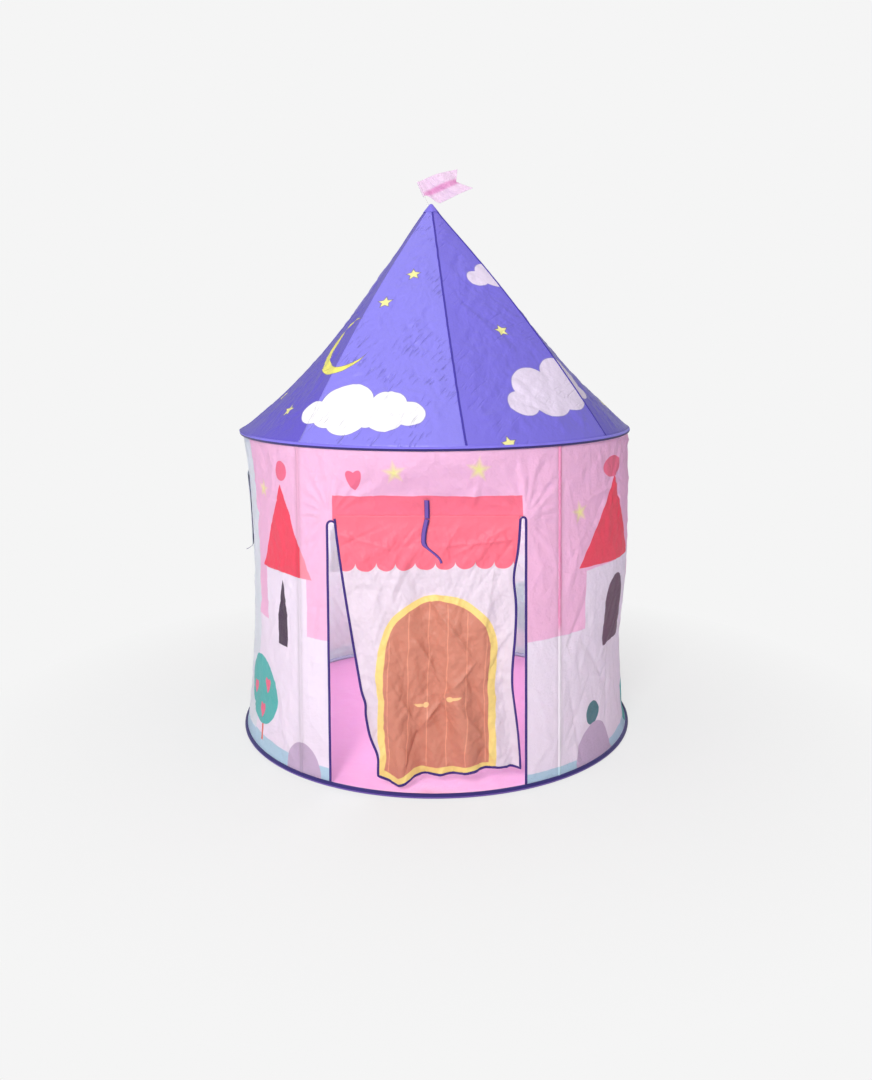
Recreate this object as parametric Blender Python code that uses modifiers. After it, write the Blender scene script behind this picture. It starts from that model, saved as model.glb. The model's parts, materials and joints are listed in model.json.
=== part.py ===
"""Children's play tent: a cloth cylinder on two sprung hoops and five rods, under a pointed roof.

The origin is the middle of the floor, on the ground, with +Z up and the doorway towards -Y.
Lengths are metres. Azimuths are degrees from the doorway's middle, positive towards +X.
"""

import math

import bmesh
import bpy
from mathutils import Vector

# Whole tent
TENT_RADIUS = 0.510
EAVES_HEIGHT = 0.7706
APEX_HEIGHT = 1.3587
APEX_OFFSET = -0.006
CLEARANCE = 0.0003
CLOTH_THICKNESS = 0.0012
TAPE_THICKNESS = 0.0009

# Hoops and their bindings
BINDING_RADIUS = 0.0055
HOOP_WIRE_RADIUS = 0.0020
HOOP_PLAY = 0.0006
RING_STEPS = 48
SLIT_HALF_ANGLE = 12.0
BINDING_SIDES = 8
BINDING_CAVITY_SIDES = 6

# Wall cloth and its rods
WALL_POLE_COUNT = 5
FIRST_POLE_AZIMUTH = 36.0
POLE_RADIUS = 0.0030
POLE_SIDES = 8
POLE_PLAY = 0.0006
POCKET_HEIGHT = 0.034
SLEEVE_FLANGE = 0.0060
SLEEVE_ARC_STEPS = 4
WAIST_DEPTH = 0.021
RIGHT_WAIST_DEPTH = 0.024
RIGHT_WAIST_TOP_SHARE = 0.62
RIGHT_WAIST_FADE_SHARE = 0.42
RIGHT_WAIST_FULL_SHARE = 0.30
LEFT_WAIST_DEPTH = 0.027
LEFT_WAIST_FULL_SHARE = 0.60
WALL_ROW_COUNT = 8
WALL_STEP_ANGLE = 7.0
POLE_FLAT_ANGLE = 1.4

# Doorway and its flap
DOOR_HALF_ANGLE = 25.5
DOOR_SEAM_HEIGHT = 0.615
DOORWAY_TAPE_WIDTH = 0.0065
LINTEL_ROW_COUNT = 8
FLAP_SIDE_GAP = 0.0060
FLAP_FLOOR_GAP = 0.0035
FLAP_LEFT_DRAW = 0.091
FLAP_RIGHT_DRAW = 0.010
FLAP_RIGHT_LIFT = 0.034
FLAP_COLUMN_COUNT = 18
FLAP_ROW_COUNT = 14
FOLD_DEPTH = 0.013
FINE_FOLD_DEPTH = 0.008
FLAP_SWAY = 0.022
FLAP_EDGE_RADIUS = 0.0026

# Ribbon ties of the door
TIE_WIDTH = 0.009
TIE_TAB_ROW_COUNT = 2
TIE_TAIL_LENGTH = 0.096
TIE_TAIL_DROP = 0.012
TIE_CURL = 0.030
TIE_ROW_COUNT = 6

# Side window
WINDOW_AZIMUTH = -90.0
WINDOW_HALF_ANGLE = 12.0
WINDOW_BOTTOM_SHARE = 0.6307
WINDOW_HEIGHT_SHARE = 0.2076
WINDOW_TAPE_OUTSIDE = 0.009
WINDOW_TAPE_INSIDE = 0.006
COVER_OVERLAP = 0.016
WINDOW_STEP_ANGLE = 4.0
WINDOW_TIE_LENGTH = 0.050
WINDOW_TIE_LIFT = 0.022

# Roof
ROOF_EDGE_COUNT = 8
FIRST_ROOF_AZIMUTH = -35.0
ROOF_ROW_COUNT = 12
GORE_COLUMN_COUNT = 4
SEAM_GAP = 0.0008
ROD_BOW = 0.022
SEAM_SAGS = (0.020, 0.030, 0.042, 0.046)
GORE_TOP_SHARE = 0.965
GORE_FLAT_SHARE = 0.35
GORE_ROUND_SHARE = 0.20
ROOF_ROD_RADIUS = 0.0025
ROOF_ROD_DROP = 0.0042
ROD_POINT_COUNT = 11
ROD_SLEEVE_HALF_ANGLE = 100.0
ROD_SLEEVE_COLUMN_COUNT = 6

# Apex hub and cap
HUB_RADIUS = 0.018
HUB_HEIGHT = 0.024
HUB_SIDES = 16
CAP_RADIUS = 0.021
CAP_TIP_RADIUS = 0.0018
CAP_SIDES = 16

# Flag and its stick
STICK_RADIUS = 0.0018
STICK_SIDES = 10
STICK_PLAY = 0.0005
STICK_LEAN = 23.7
STICK_PIVOT_DROP = 0.0215
STICK_DEPTH = 0.012
HOIST_START = 0.0465
HOIST_LENGTH = 0.040
FLAG_LENGTH = 0.124
FLAG_DROOP = 0.034
FLAG_FLY_DROP = 0.012
FLAG_WAVE = 0.006
FLAG_COLUMN_COUNT = 10
FLAG_ROW_COUNT = 4
STICK_PAST_FLAG = 0.003

# Values that follow from the sizes above
WINDOW_BOTTOM = EAVES_HEIGHT * WINDOW_BOTTOM_SHARE
WINDOW_HEIGHT = EAVES_HEIGHT * WINDOW_HEIGHT_SHARE
RING_RADIUS = TENT_RADIUS - BINDING_RADIUS
WALL_RADIUS = RING_RADIUS - CLOTH_THICKNESS
WALL_BOTTOM = 2 * BINDING_RADIUS + CLEARANCE
WALL_TOP = EAVES_HEIGHT - BINDING_RADIUS - CLEARANCE
ROOF_BOTTOM = EAVES_HEIGHT + BINDING_RADIUS + CLEARANCE + CLOTH_THICKNESS / 2
POLE_STEP = 360.0 / WALL_POLE_COUNT
POCKET_WALL = CLOTH_THICKNESS
POLE_CENTRE_RADIUS = (
    WALL_RADIUS - CLOTH_THICKNESS / 2 - CLEARANCE - POCKET_WALL - POLE_PLAY - POLE_RADIUS
)
DOOR_HALF_WIDTH = WALL_RADIUS * math.sin(math.radians(DOOR_HALF_ANGLE))
DOOR_PLANE = -WALL_RADIUS * math.cos(math.radians(DOOR_HALF_ANGLE))
LINTEL_BOTTOM = DOOR_SEAM_HEIGHT + CLOTH_THICKNESS / 2 + CLEARANCE
ROOF_STEP = 360.0 / ROOF_EDGE_COUNT

parts = bpy.data.collections.new("play_tent")
cutters = bpy.data.collections.new("cutters")


def clear_scene():
    """Empties the scene and adds the two collections."""
    for obj in list(bpy.data.objects):
        bpy.data.objects.remove(obj, do_unlink=True)
    bpy.context.scene.collection.children.link(parts)
    bpy.context.scene.collection.children.link(cutters)


def make_material(name, colour, roughness, metallic=0.0):
    """A plain surface of one colour."""
    material = bpy.data.materials.new(name)
    material.use_nodes = True
    shader = material.node_tree.nodes["Principled BSDF"]
    shader.inputs["Base Color"].default_value = (*colour, 1.0)
    shader.inputs["Roughness"].default_value = roughness
    shader.inputs["Metallic"].default_value = metallic
    material.diffuse_color = (*colour, 1.0)
    return material


def add_object(name, data, material, collection=None):
    """Links a mesh or a curve as one named object."""
    obj = bpy.data.objects.new(name, data)
    (collection or parts).objects.link(obj)
    if material:
        data.materials.append(material)
    return obj


def smooth_mesh(mesh, angle=40.0):
    """Shades round stretches smooth and keeps sharp edges."""
    mesh.shade_smooth()
    mesh.set_sharp_from_angle(angle=math.radians(angle))


def cloth(name, columns, rows, place, thickness, material, keep=None):
    """A sheet of cloth: a grid laid in space by place(i, j), given its thickness by Solidify.

    Cells that keep(i, j) refuses are left out, which makes an opening.
    """
    bm = bmesh.new()
    bmesh.ops.create_grid(bm, x_segments=columns, y_segments=rows, size=0.5)
    if keep:
        unwanted = [f for f in bm.faces if not keep(*cell_of(f, columns, rows))]
        bmesh.ops.delete(bm, geom=unwanted, context="FACES")
    for vert in bm.verts:
        i = round((vert.co.x + 0.5) * columns)
        j = round((vert.co.y + 0.5) * rows)
        vert.co = place(i, j)
    mesh = bpy.data.meshes.new(name)
    bm.to_mesh(mesh)
    bm.free()
    smooth_mesh(mesh)
    obj = add_object(name, mesh, material)
    solid = obj.modifiers.new("thickness", "SOLIDIFY")
    solid.thickness = thickness
    solid.offset = 0.0
    solid.use_even_offset = True
    return obj


def cell_of(face, columns, rows):
    """The column and row of a grid's cell."""
    centre = face.calc_center_median()
    return int((centre.x + 0.5) * columns), int((centre.y + 0.5) * rows)


def turned(name, profile, steps, material, closed=True):
    """A profile of (radius, height) points turned about Z with Screw."""
    bm = bmesh.new()
    verts = [bm.verts.new((radius, 0.0, height)) for radius, height in profile]
    pairs = zip(verts, verts[1:] + verts[:1]) if closed else zip(verts, verts[1:])
    for first, second in pairs:
        bm.edges.new((first, second))
    mesh = bpy.data.meshes.new(name)
    bm.to_mesh(mesh)
    bm.free()
    obj = add_object(name, mesh, material)
    screw = obj.modifiers.new("turn", "SCREW")
    screw.steps = steps
    screw.render_steps = steps
    screw.use_merge_vertices = True
    screw.merge_threshold = CLEARANCE / 30
    screw.use_smooth_shade = True
    return obj


def tube(name, points, radius, material, resolution=1):
    """A rod or a welt along the given points."""
    curve = bpy.data.curves.new(name, "CURVE")
    curve.dimensions = "3D"
    curve.bevel_depth = radius
    curve.bevel_resolution = resolution
    curve.use_fill_caps = True
    curve.twist_mode = "MINIMUM"
    spline = curve.splines.new("POLY")
    spline.points.add(len(points) - 1)
    for target, point in zip(spline.points, points):
        target.co = (*point, 1.0)
    return add_object(name, curve, material)


def rod_mesh(name, length, radius, sides, material, collection=None):
    """An upright round rod that starts at its object's origin."""
    bm = bmesh.new()
    bmesh.ops.create_cone(
        bm, cap_ends=True, segments=sides, radius1=radius, radius2=radius, depth=length
    )
    bmesh.ops.translate(bm, verts=bm.verts, vec=(0.0, 0.0, length / 2))
    mesh = bpy.data.meshes.new(name)
    bm.to_mesh(mesh)
    bm.free()
    smooth_mesh(mesh)
    return add_object(name, mesh, material, collection)


def cut(target, cutter):
    """Takes the cutter out of the target and hides the cutter."""
    cutter.hide_render = True
    cutter.display_type = "WIRE"
    boolean = target.modifiers.new("cut", "BOOLEAN")
    boolean.operation = "DIFFERENCE"
    boolean.solver = "EXACT"
    boolean.object = cutter


def direction(azimuth):
    """The outward unit vector at an azimuth."""
    angle = math.radians(azimuth)
    return Vector((math.sin(angle), -math.cos(angle), 0.0))


def sideways(azimuth):
    """The unit vector along the wall, towards larger azimuths."""
    angle = math.radians(azimuth)
    return Vector((math.cos(angle), math.sin(angle), 0.0))


def smoothstep(share):
    """Eases a share between 0 and 1."""
    share = min(max(share, 0.0), 1.0)
    return share * share * (3.0 - 2.0 * share)


def evenly(start, end, longest):
    """Places from start to end, no farther apart than longest."""
    count = max(1, math.ceil(abs(end - start) / longest - 1e-6))
    return [start + (end - start) * k / count for k in range(count + 1)]


def merged(*groups):
    """Places of several lists in order, each once."""
    places = sorted(place for group in groups for place in group)
    return [p for k, p in enumerate(places) if k == 0 or p - places[k - 1] > 1e-6]


def binding_profile(height):
    """The section of a hoop binding: a rolled tape, open along a slit on its inner side."""
    slit = SLIT_HALF_ANGLE
    span = 360.0 - 2 * slit
    cavity = HOOP_WIRE_RADIUS + HOOP_PLAY
    outer = [180.0 - slit - span * k / BINDING_SIDES for k in range(BINDING_SIDES + 1)]
    inner = [
        slit - 180.0 + span * k / BINDING_CAVITY_SIDES for k in range(BINDING_CAVITY_SIDES + 1)
    ]
    corners = [(angle, BINDING_RADIUS) for angle in outer] + [(angle, cavity) for angle in inner]
    points = [
        (
            RING_RADIUS + radius * math.cos(math.radians(angle)),
            height + radius * math.sin(math.radians(angle)),
        )
        for angle, radius in corners
    ]
    lowest = min(z for _, z in points)
    return [(x, max(z, height - BINDING_RADIUS) - (lowest - height + BINDING_RADIUS)) for x, z in points]


def hoop(name, height, material, tape):
    """A sprung hoop and the tape that binds it."""
    wire = [
        (
            RING_RADIUS - HOOP_WIRE_RADIUS * math.cos(math.radians(60.0 * k)),
            height + HOOP_WIRE_RADIUS * math.sin(math.radians(60.0 * k)),
        )
        for k in range(6)
    ]
    turned(name, wire, RING_STEPS, material)
    turned(name + "_binding", binding_profile(height), RING_STEPS, tape)


def floor_sheet(material):
    """The groundsheet inside the lower hoop."""
    edge = RING_RADIUS - BINDING_RADIUS * math.sin(math.radians(45.0)) - CLEARANCE
    bm = bmesh.new()
    bmesh.ops.create_cone(
        bm,
        cap_ends=True,
        segments=RING_STEPS,
        radius1=edge,
        radius2=edge,
        depth=CLOTH_THICKNESS,
    )
    bmesh.ops.translate(bm, verts=bm.verts, vec=(0.0, 0.0, CLOTH_THICKNESS / 2))
    mesh = bpy.data.meshes.new("floor_sheet")
    bm.to_mesh(mesh)
    bm.free()
    add_object("floor_sheet", mesh, material)


def pole_azimuth(index):
    """Where a wall rod stands."""
    return FIRST_POLE_AZIMUTH + POLE_STEP * index


def waist(azimuth, height):
    """How far the cloth is drawn in between two rods: low down on the right, most on the left."""
    panel, along = divmod((azimuth - FIRST_POLE_AZIMUTH) % 360.0, POLE_STEP)
    inner = (along - POLE_FLAT_ANGLE) / (POLE_STEP - 2 * POLE_FLAT_ANGLE)
    if inner <= 0.0 or inner >= 1.0:
        return 0.0
    rise = min(max((height - WALL_BOTTOM) / (WALL_TOP - WALL_BOTTOM), 0.0), 1.0)
    swell = max(math.sin(math.pi * rise), 0.0)
    if panel == 0:
        fade = smoothstep((RIGHT_WAIST_TOP_SHARE - rise) / RIGHT_WAIST_FADE_SHARE)
        depth = RIGHT_WAIST_DEPTH * swell**RIGHT_WAIST_FULL_SHARE * fade
    elif panel == 3:
        depth = LEFT_WAIST_DEPTH * swell**LEFT_WAIST_FULL_SHARE
    else:
        depth = WAIST_DEPTH * swell
    return depth * math.sin(math.pi * inner)


def wall_point(azimuth, height, outward=0.0):
    """A point on the side or back wall cloth, or in front of it."""
    radius = WALL_RADIUS - waist(azimuth, height) + outward
    return direction(azimuth) * radius + Vector((0.0, 0.0, height))


def front_point(azimuth, height, outward=0.0):
    """A point on the front wall cloth, which flattens down to the straight seam over the doorway."""
    point = direction(azimuth) * (WALL_RADIUS + outward)
    if abs(azimuth) < DOOR_HALF_ANGLE:
        share = smoothstep((WALL_TOP - height) / (WALL_TOP - LINTEL_BOTTOM))
        point.y += (DOOR_PLANE - outward - point.y) * share
    point.z = height
    return point


def lintel_heights():
    """The heights of the front wall's rows over the doorway."""
    return evenly(LINTEL_BOTTOM, WALL_TOP, (WALL_TOP - LINTEL_BOTTOM) / LINTEL_ROW_COUNT)


def window_azimuths():
    """The azimuths that the pieces round the window share, so that their facets stay parallel."""
    reach = {
        "hole": 0.0,
        "tape_out": WINDOW_TAPE_OUTSIDE,
        "tape_in": -WINDOW_TAPE_INSIDE,
        "cover": COVER_OVERLAP,
    }
    turn = {name: math.degrees(size / WALL_RADIUS) for name, size in reach.items()}
    inner = WINDOW_HALF_ANGLE + turn["tape_in"]
    places = evenly(-inner, inner, WINDOW_STEP_ANGLE)
    for size in turn.values():
        places += [-WINDOW_HALF_ANGLE - size, WINDOW_HALF_ANGLE + size]
    return [WINDOW_AZIMUTH + place for place in merged(places)]


def window_heights():
    """The heights that the pieces round the window share."""
    top = WINDOW_BOTTOM + WINDOW_HEIGHT
    places = evenly(WINDOW_BOTTOM, top, WINDOW_HEIGHT / 3)
    for size in (WINDOW_TAPE_OUTSIDE, -WINDOW_TAPE_INSIDE, COVER_OVERLAP):
        places += [WINDOW_BOTTOM - size, top + size]
    return merged(places)


def between(places, low, high):
    """The places from low to high."""
    return [place for place in places if low - 1e-6 <= place <= high + 1e-6]


def wall_heights():
    """The heights of an ordinary panel's rows."""
    return evenly(WALL_BOTTOM, WALL_TOP, (WALL_TOP - WALL_BOTTOM) / WALL_ROW_COUNT)


def panel_azimuths(start, end):
    """The azimuths of a panel's columns, with a flat strip along each rod."""
    gap = math.degrees(SEAM_GAP / 2 / WALL_RADIUS)
    ends = [start + gap, end - gap]
    inner = evenly(start + POLE_FLAT_ANGLE, end - POLE_FLAT_ANGLE, WALL_STEP_ANGLE)
    return merged(ends, inner)


def laid_cloth(name, azimuths, heights, point, material, thickness, outward=0.0, hole=None):
    """A sheet of cloth over lists of azimuths and heights, with an optional rectangular hole."""

    def place(i, j):
        return point(azimuths[i], heights[j], outward)

    def keep(i, j):
        azimuth = (azimuths[i] + azimuths[i + 1]) / 2
        height = (heights[j] + heights[j + 1]) / 2
        left, right, low, high = hole
        return not (left < azimuth < right and low < height < high)

    return cloth(
        name,
        len(azimuths) - 1,
        len(heights) - 1,
        place,
        thickness,
        material,
        keep if hole else None,
    )


def wall_panels(front, side):
    """The five panels of the wall, sewn together at the rods."""
    heights = merged(evenly(WALL_BOTTOM, LINTEL_BOTTOM, DOOR_SEAM_HEIGHT / 4), lintel_heights())
    gap = math.degrees(SEAM_GAP / 2 / WALL_RADIUS)
    edge = FIRST_POLE_AZIMUTH
    sides = evenly(DOOR_HALF_ANGLE, edge - POLE_FLAT_ANGLE, WALL_STEP_ANGLE) + [edge - gap]
    middle = evenly(-DOOR_HALF_ANGLE, DOOR_HALF_ANGLE, WALL_STEP_ANGLE)
    azimuths = merged([-place for place in sides], middle, sides)
    doorway = (-DOOR_HALF_ANGLE, DOOR_HALF_ANGLE, 0.0, DOOR_SEAM_HEIGHT)
    laid_cloth("front_wall", azimuths, heights, front_point, front, CLOTH_THICKNESS, hole=doorway)

    names = ("right_wall", "back_right_wall", "back_left_wall")
    for index, name in enumerate(names):
        azimuths = panel_azimuths(pole_azimuth(index), pole_azimuth(index + 1))
        laid_cloth(name, azimuths, wall_heights(), wall_point, side, CLOTH_THICKNESS)

    left_start, left_end = pole_azimuth(-2), pole_azimuth(-1)
    shared = window_azimuths()
    plain = [
        place
        for place in panel_azimuths(left_start, left_end)
        if place < shared[0] - 1.0 or place > shared[-1] + 1.0
    ]
    heights = window_heights()
    rest = [h for h in wall_heights() if h < heights[0] - BINDING_RADIUS or h > heights[-1]]
    hole = (
        WINDOW_AZIMUTH - WINDOW_HALF_ANGLE,
        WINDOW_AZIMUTH + WINDOW_HALF_ANGLE,
        WINDOW_BOTTOM,
        WINDOW_BOTTOM + WINDOW_HEIGHT,
    )
    laid_cloth(
        "left_wall",
        merged(plain, shared),
        merged(rest, heights),
        wall_point,
        side,
        CLOTH_THICKNESS,
        hole=hole,
    )


def wall_pole(index, rod, cloth_material):
    """A rod of the wall, with the pocket that holds its foot and the sleeve that it slides up."""
    azimuth = pole_azimuth(index - 1)
    foot = WALL_BOTTOM + POCKET_WALL + CLEARANCE
    at = direction(azimuth) * POLE_CENTRE_RADIUS
    turn = math.radians(azimuth)

    pole = rod_mesh(f"wall_pole_{index}", WALL_TOP - foot, POLE_RADIUS, POLE_SIDES, rod)
    pole.location = (at.x, at.y, foot)
    pole.rotation_euler.z = turn

    bore = POLE_RADIUS + POLE_PLAY
    outside = bore + POCKET_WALL
    pocket_top = WALL_BOTTOM + POCKET_HEIGHT
    pocket_bottom = rod_mesh(
        f"pole_pocket_{index}", POCKET_HEIGHT, outside, POLE_SIDES, cloth_material
    )
    pocket_bottom.location = (at.x, at.y, WALL_BOTTOM)
    pocket_bottom.rotation_euler.z = turn
    drill = rod_mesh(f"pocket_bore_{index}", POCKET_HEIGHT, bore, POLE_SIDES, None, cutters)
    drill.location = (at.x, at.y, WALL_BOTTOM + POCKET_WALL)
    drill.rotation_euler.z = turn
    cut(pocket_bottom, drill)

    section = sleeve_section(bore)
    heights = (pocket_top + CLEARANCE, WALL_TOP)

    def place(i, j):
        along, inward = section[i]
        radius = WALL_RADIUS - CLOTH_THICKNESS / 2 - inward
        point = direction(azimuth) * radius + sideways(azimuth) * along
        point.z = heights[j]
        return point

    cloth(
        f"wall_pole_sleeve_{index}",
        len(section) - 1,
        1,
        place,
        TAPE_THICKNESS,
        cloth_material,
    )


def sleeve_section(bore):
    """The section of a rod's sleeve as (along the wall, in from the wall's inner face) points."""
    seat = CLEARANCE + TAPE_THICKNESS / 2
    centre = WALL_RADIUS - CLOTH_THICKNESS / 2 - POLE_CENTRE_RADIUS
    radius = bore + TAPE_THICKNESS / 2 + CLEARANCE
    arc = [180.0 * k / SLEEVE_ARC_STEPS for k in range(SLEEVE_ARC_STEPS + 1)]
    bend = [
        (-radius * math.cos(math.radians(a)), centre + radius * math.sin(math.radians(a)))
        for a in arc
    ]
    return (
        [(-radius - SLEEVE_FLANGE, seat), (-radius, seat)]
        + bend
        + [(radius, seat), (radius + SLEEVE_FLANGE, seat)]
    )


def doorway_tape(name, side, material):
    """The tape folded over one upright edge of the doorway."""
    edge = side * DOOR_HALF_ANGLE
    face = CLOTH_THICKNESS / 2 + CLEARANCE + TAPE_THICKNESS / 2
    section = ((DOORWAY_TAPE_WIDTH, face), (-face, face), (-face, -face), (DOORWAY_TAPE_WIDTH, -face))
    heights = (WALL_BOTTOM, DOOR_SEAM_HEIGHT - CLEARANCE)

    def place(i, j):
        along, outward = section[i]
        turn = edge + side * math.degrees(along / WALL_RADIUS)
        return wall_line(turn, heights[j], outward)

    cloth(name, len(section) - 1, 1, place, TAPE_THICKNESS, material)


def wall_line(azimuth, height, outward):
    """A point on the plain cylinder of the wall."""
    return direction(azimuth) * (WALL_RADIUS + outward) + Vector((0.0, 0.0, height))


def flap_folds(u, v):
    """How far the flap's cloth stands from its plane: broad folds, finer ones and a slow sway."""
    broad = math.sin(math.tau * (2.15 * u + 0.30 * v) + 0.6)
    fine = math.sin(math.tau * (4.60 * u - 0.55 * v) + 2.1)
    growth = v**1.1
    sway = FLAP_SWAY * (u - 0.5) * v
    return growth * (FOLD_DEPTH * broad + FINE_FOLD_DEPTH * fine) + sway


def flap_balance():
    """The lean that brings the flap's weight under its seam, as the depth at its lower edge."""
    shares = [
        ((i + 0.5) / FLAP_COLUMN_COUNT, (j + 0.5) / FLAP_ROW_COUNT)
        for i in range(FLAP_COLUMN_COUNT)
        for j in range(FLAP_ROW_COUNT)
    ]
    depth = sum(flap_folds(u, v) for u, v in shares)
    return depth / sum(v for _, v in shares)


def flap_point(u, v, outward=0.0):
    """A point of the door flap: u runs from left to right and v from the seam to the hem."""
    half = DOOR_HALF_WIDTH - FLAP_SIDE_GAP - 2 * FLAP_EDGE_RADIUS
    left = -half + FLAP_LEFT_DRAW * v**1.2
    right = half - FLAP_RIGHT_DRAW * math.sin(math.pi * v)
    hem = 2 * BINDING_RADIUS + FLAP_FLOOR_GAP + 2 * FLAP_EDGE_RADIUS + CLEARANCE
    hem += FLAP_RIGHT_LIFT * smoothstep(1.25 * u)
    depth = flap_folds(u, v) - FLAP_LEAN * v
    x = left + (right - left) * u
    return Vector((x, DOOR_PLANE + depth - outward, DOOR_SEAM_HEIGHT + (hem - DOOR_SEAM_HEIGHT) * v))


FLAP_LEAN = flap_balance()


def door_flap(material, tape):
    """The hanging door and the welt round its free edges."""

    def place(i, j):
        return flap_point(i / FLAP_COLUMN_COUNT, 1.0 - j / FLAP_ROW_COUNT)

    cloth("door_flap", FLAP_COLUMN_COUNT, FLAP_ROW_COUNT, place, CLOTH_THICKNESS, material)

    away = FLAP_EDGE_RADIUS + CLEARANCE * 2
    start = (TAPE_THICKNESS + FLAP_EDGE_RADIUS) / DOOR_SEAM_HEIGHT
    rows = [start] + [k / FLAP_ROW_COUNT for k in range(1, FLAP_ROW_COUNT)]
    left = [flap_point(0.0, v) + Vector((-away, 0.0, 0.0)) for v in rows]
    right = [flap_point(1.0, v) + Vector((away, 0.0, 0.0)) for v in rows]
    corners = (flap_point(0.0, 1.0), flap_point(1.0, 1.0))
    low_left = corners[0] + Vector((-away, 0.0, -away))
    low_right = corners[1] + Vector((away, 0.0, -away))
    hem = [
        flap_point(k / FLAP_COLUMN_COUNT, 1.0) + Vector((0.0, 0.0, -away))
        for k in range(1, FLAP_COLUMN_COUNT)
    ]
    path = left + [low_left] + hem + [low_right] + right[::-1]
    tube("door_flap_binding", path, FLAP_EDGE_RADIUS, tape)


def door_tie(name, side, material):
    """One of the two ribbons over the doorway that tie the rolled flap up: its sewn tab and its tail.

    The side is 1 outside the tent and -1 inside.
    """
    lift = CLOTH_THICKNESS / 2 + CLEARANCE + TAPE_THICKNESS / 2
    tab_heights = lintel_heights()
    half_turn = math.degrees(TIE_WIDTH / 2 / WALL_RADIUS)

    def tab_place(i, j):
        point = front_point((2 * i - 1) * half_turn, tab_heights[j])
        below, above = (front_point(0.0, tab_heights[j] + step) for step in (-TIE_WIDTH, TIE_WIDTH))
        outward = Vector((1.0, 0.0, 0.0)).cross(above - below).normalized()
        return point + outward * (side * lift)

    cloth(name + "_tab", 1, TIE_TAB_ROW_COUNT, tab_place, TAPE_THICKNESS, material)

    width = DOOR_HALF_WIDTH * 2
    drop = DOOR_SEAM_HEIGHT - FLAP_EDGE_RADIUS

    def tail_place(i, j):
        share = j / TIE_ROW_COUNT
        curl = TIE_CURL * smoothstep(2.0 * share - 1.0) - TIE_WIDTH * share
        u = 0.5 + ((i - 0.5) * TIE_WIDTH + curl * (1 + side) / 2) / width
        v = (TIE_TAIL_DROP + TIE_TAIL_LENGTH * share) / drop
        return flap_point(u, v, side * (lift + CLEARANCE))

    cloth(name, 1, TIE_ROW_COUNT, tail_place, TAPE_THICKNESS, material)


def window(net, tape, cover, ribbon):
    """The netted side window, its taped edge, and the cover that hangs over it."""
    azimuths = window_azimuths()
    heights = window_heights()
    turn = {
        "out": math.degrees(WINDOW_TAPE_OUTSIDE / WALL_RADIUS),
        "in": math.degrees(WINDOW_TAPE_INSIDE / WALL_RADIUS),
        "cover": math.degrees(COVER_OVERLAP / WALL_RADIUS),
    }
    left = WINDOW_AZIMUTH - WINDOW_HALF_ANGLE
    right = WINDOW_AZIMUTH + WINDOW_HALF_ANGLE
    top = WINDOW_BOTTOM + WINDOW_HEIGHT
    small = math.degrees(CLEARANCE / WALL_RADIUS)

    net_azimuths = merged(
        [left + small, right - small],
        between(azimuths, left + turn["in"], right - turn["in"]),
    )
    net_heights = merged(
        [WINDOW_BOTTOM + CLEARANCE, top - CLEARANCE],
        between(heights, WINDOW_BOTTOM + WINDOW_TAPE_INSIDE, top - WINDOW_TAPE_INSIDE),
    )
    laid_cloth("window_net", net_azimuths, net_heights, wall_point, net, TAPE_THICKNESS)

    tape_out = CLOTH_THICKNESS / 2 + CLEARANCE + TAPE_THICKNESS / 2
    laid_cloth(
        "window_binding",
        between(azimuths, left - turn["out"], right + turn["out"]),
        between(heights, WINDOW_BOTTOM - WINDOW_TAPE_OUTSIDE, top + WINDOW_TAPE_OUTSIDE),
        wall_point,
        tape,
        TAPE_THICKNESS,
        tape_out,
        (
            left + turn["in"],
            right - turn["in"],
            WINDOW_BOTTOM + WINDOW_TAPE_INSIDE,
            top - WINDOW_TAPE_INSIDE,
        ),
    )

    cover_out = tape_out + TAPE_THICKNESS / 2 + CLEARANCE + CLOTH_THICKNESS / 2
    low = WINDOW_BOTTOM - COVER_OVERLAP
    laid_cloth(
        "window_cover",
        between(azimuths, left - turn["cover"], right + turn["cover"]),
        between(heights, low, top + COVER_OVERLAP),
        wall_point,
        cover,
        CLOTH_THICKNESS,
        cover_out,
    )

    def tie_place(i, j):
        share = j / TIE_ROW_COUNT
        azimuth = WINDOW_AZIMUTH + math.degrees((i - 0.5) * TIE_WIDTH / WALL_RADIUS)
        height = low - CLEARANCE - WINDOW_TIE_LENGTH * share * (1.0 - 0.35 * share)
        return wall_point(azimuth, height, cover_out + WINDOW_TIE_LIFT * share**2)

    cloth("window_tie", 1, TIE_ROW_COUNT, tie_place, TAPE_THICKNESS, ribbon)


def roof_radius(index, share):
    """The radius of a roof edge at a share of the roof's height: even edges have a rod."""
    plain = RING_RADIUS * (1.0 - share)
    fade = 1.0 - share**8
    if index % 2 == 0:
        return plain + ROD_BOW * 4.0 * share * (1.0 - share) * fade
    sag = SEAM_SAGS[(index // 2) % len(SEAM_SAGS)]
    return plain - sag * math.sin(math.pi * share**0.7) * fade


def roof_height(share):
    """The height at a share of the roof's height."""
    return ROOF_BOTTOM + (APEX_HEIGHT - ROOF_BOTTOM) * share


def roof_azimuth(index):
    """The azimuth of a roof edge."""
    return FIRST_ROOF_AZIMUTH + ROOF_STEP * index


def roof_edge(index, share):
    """A point on a roof edge. The apex stands a little to one side."""
    point = direction(roof_azimuth(index)) * roof_radius(index, share)
    point.x += APEX_OFFSET * share
    point.z = roof_height(share)
    return point


def roof_share_at(index, radius):
    """The share of the roof's height at which an edge has this radius."""
    low, high = 0.5, 1.0
    for _ in range(40):
        middle = (low + high) / 2
        if roof_radius(index, middle) > radius:
            low = middle
        else:
            high = middle
    return high


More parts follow.
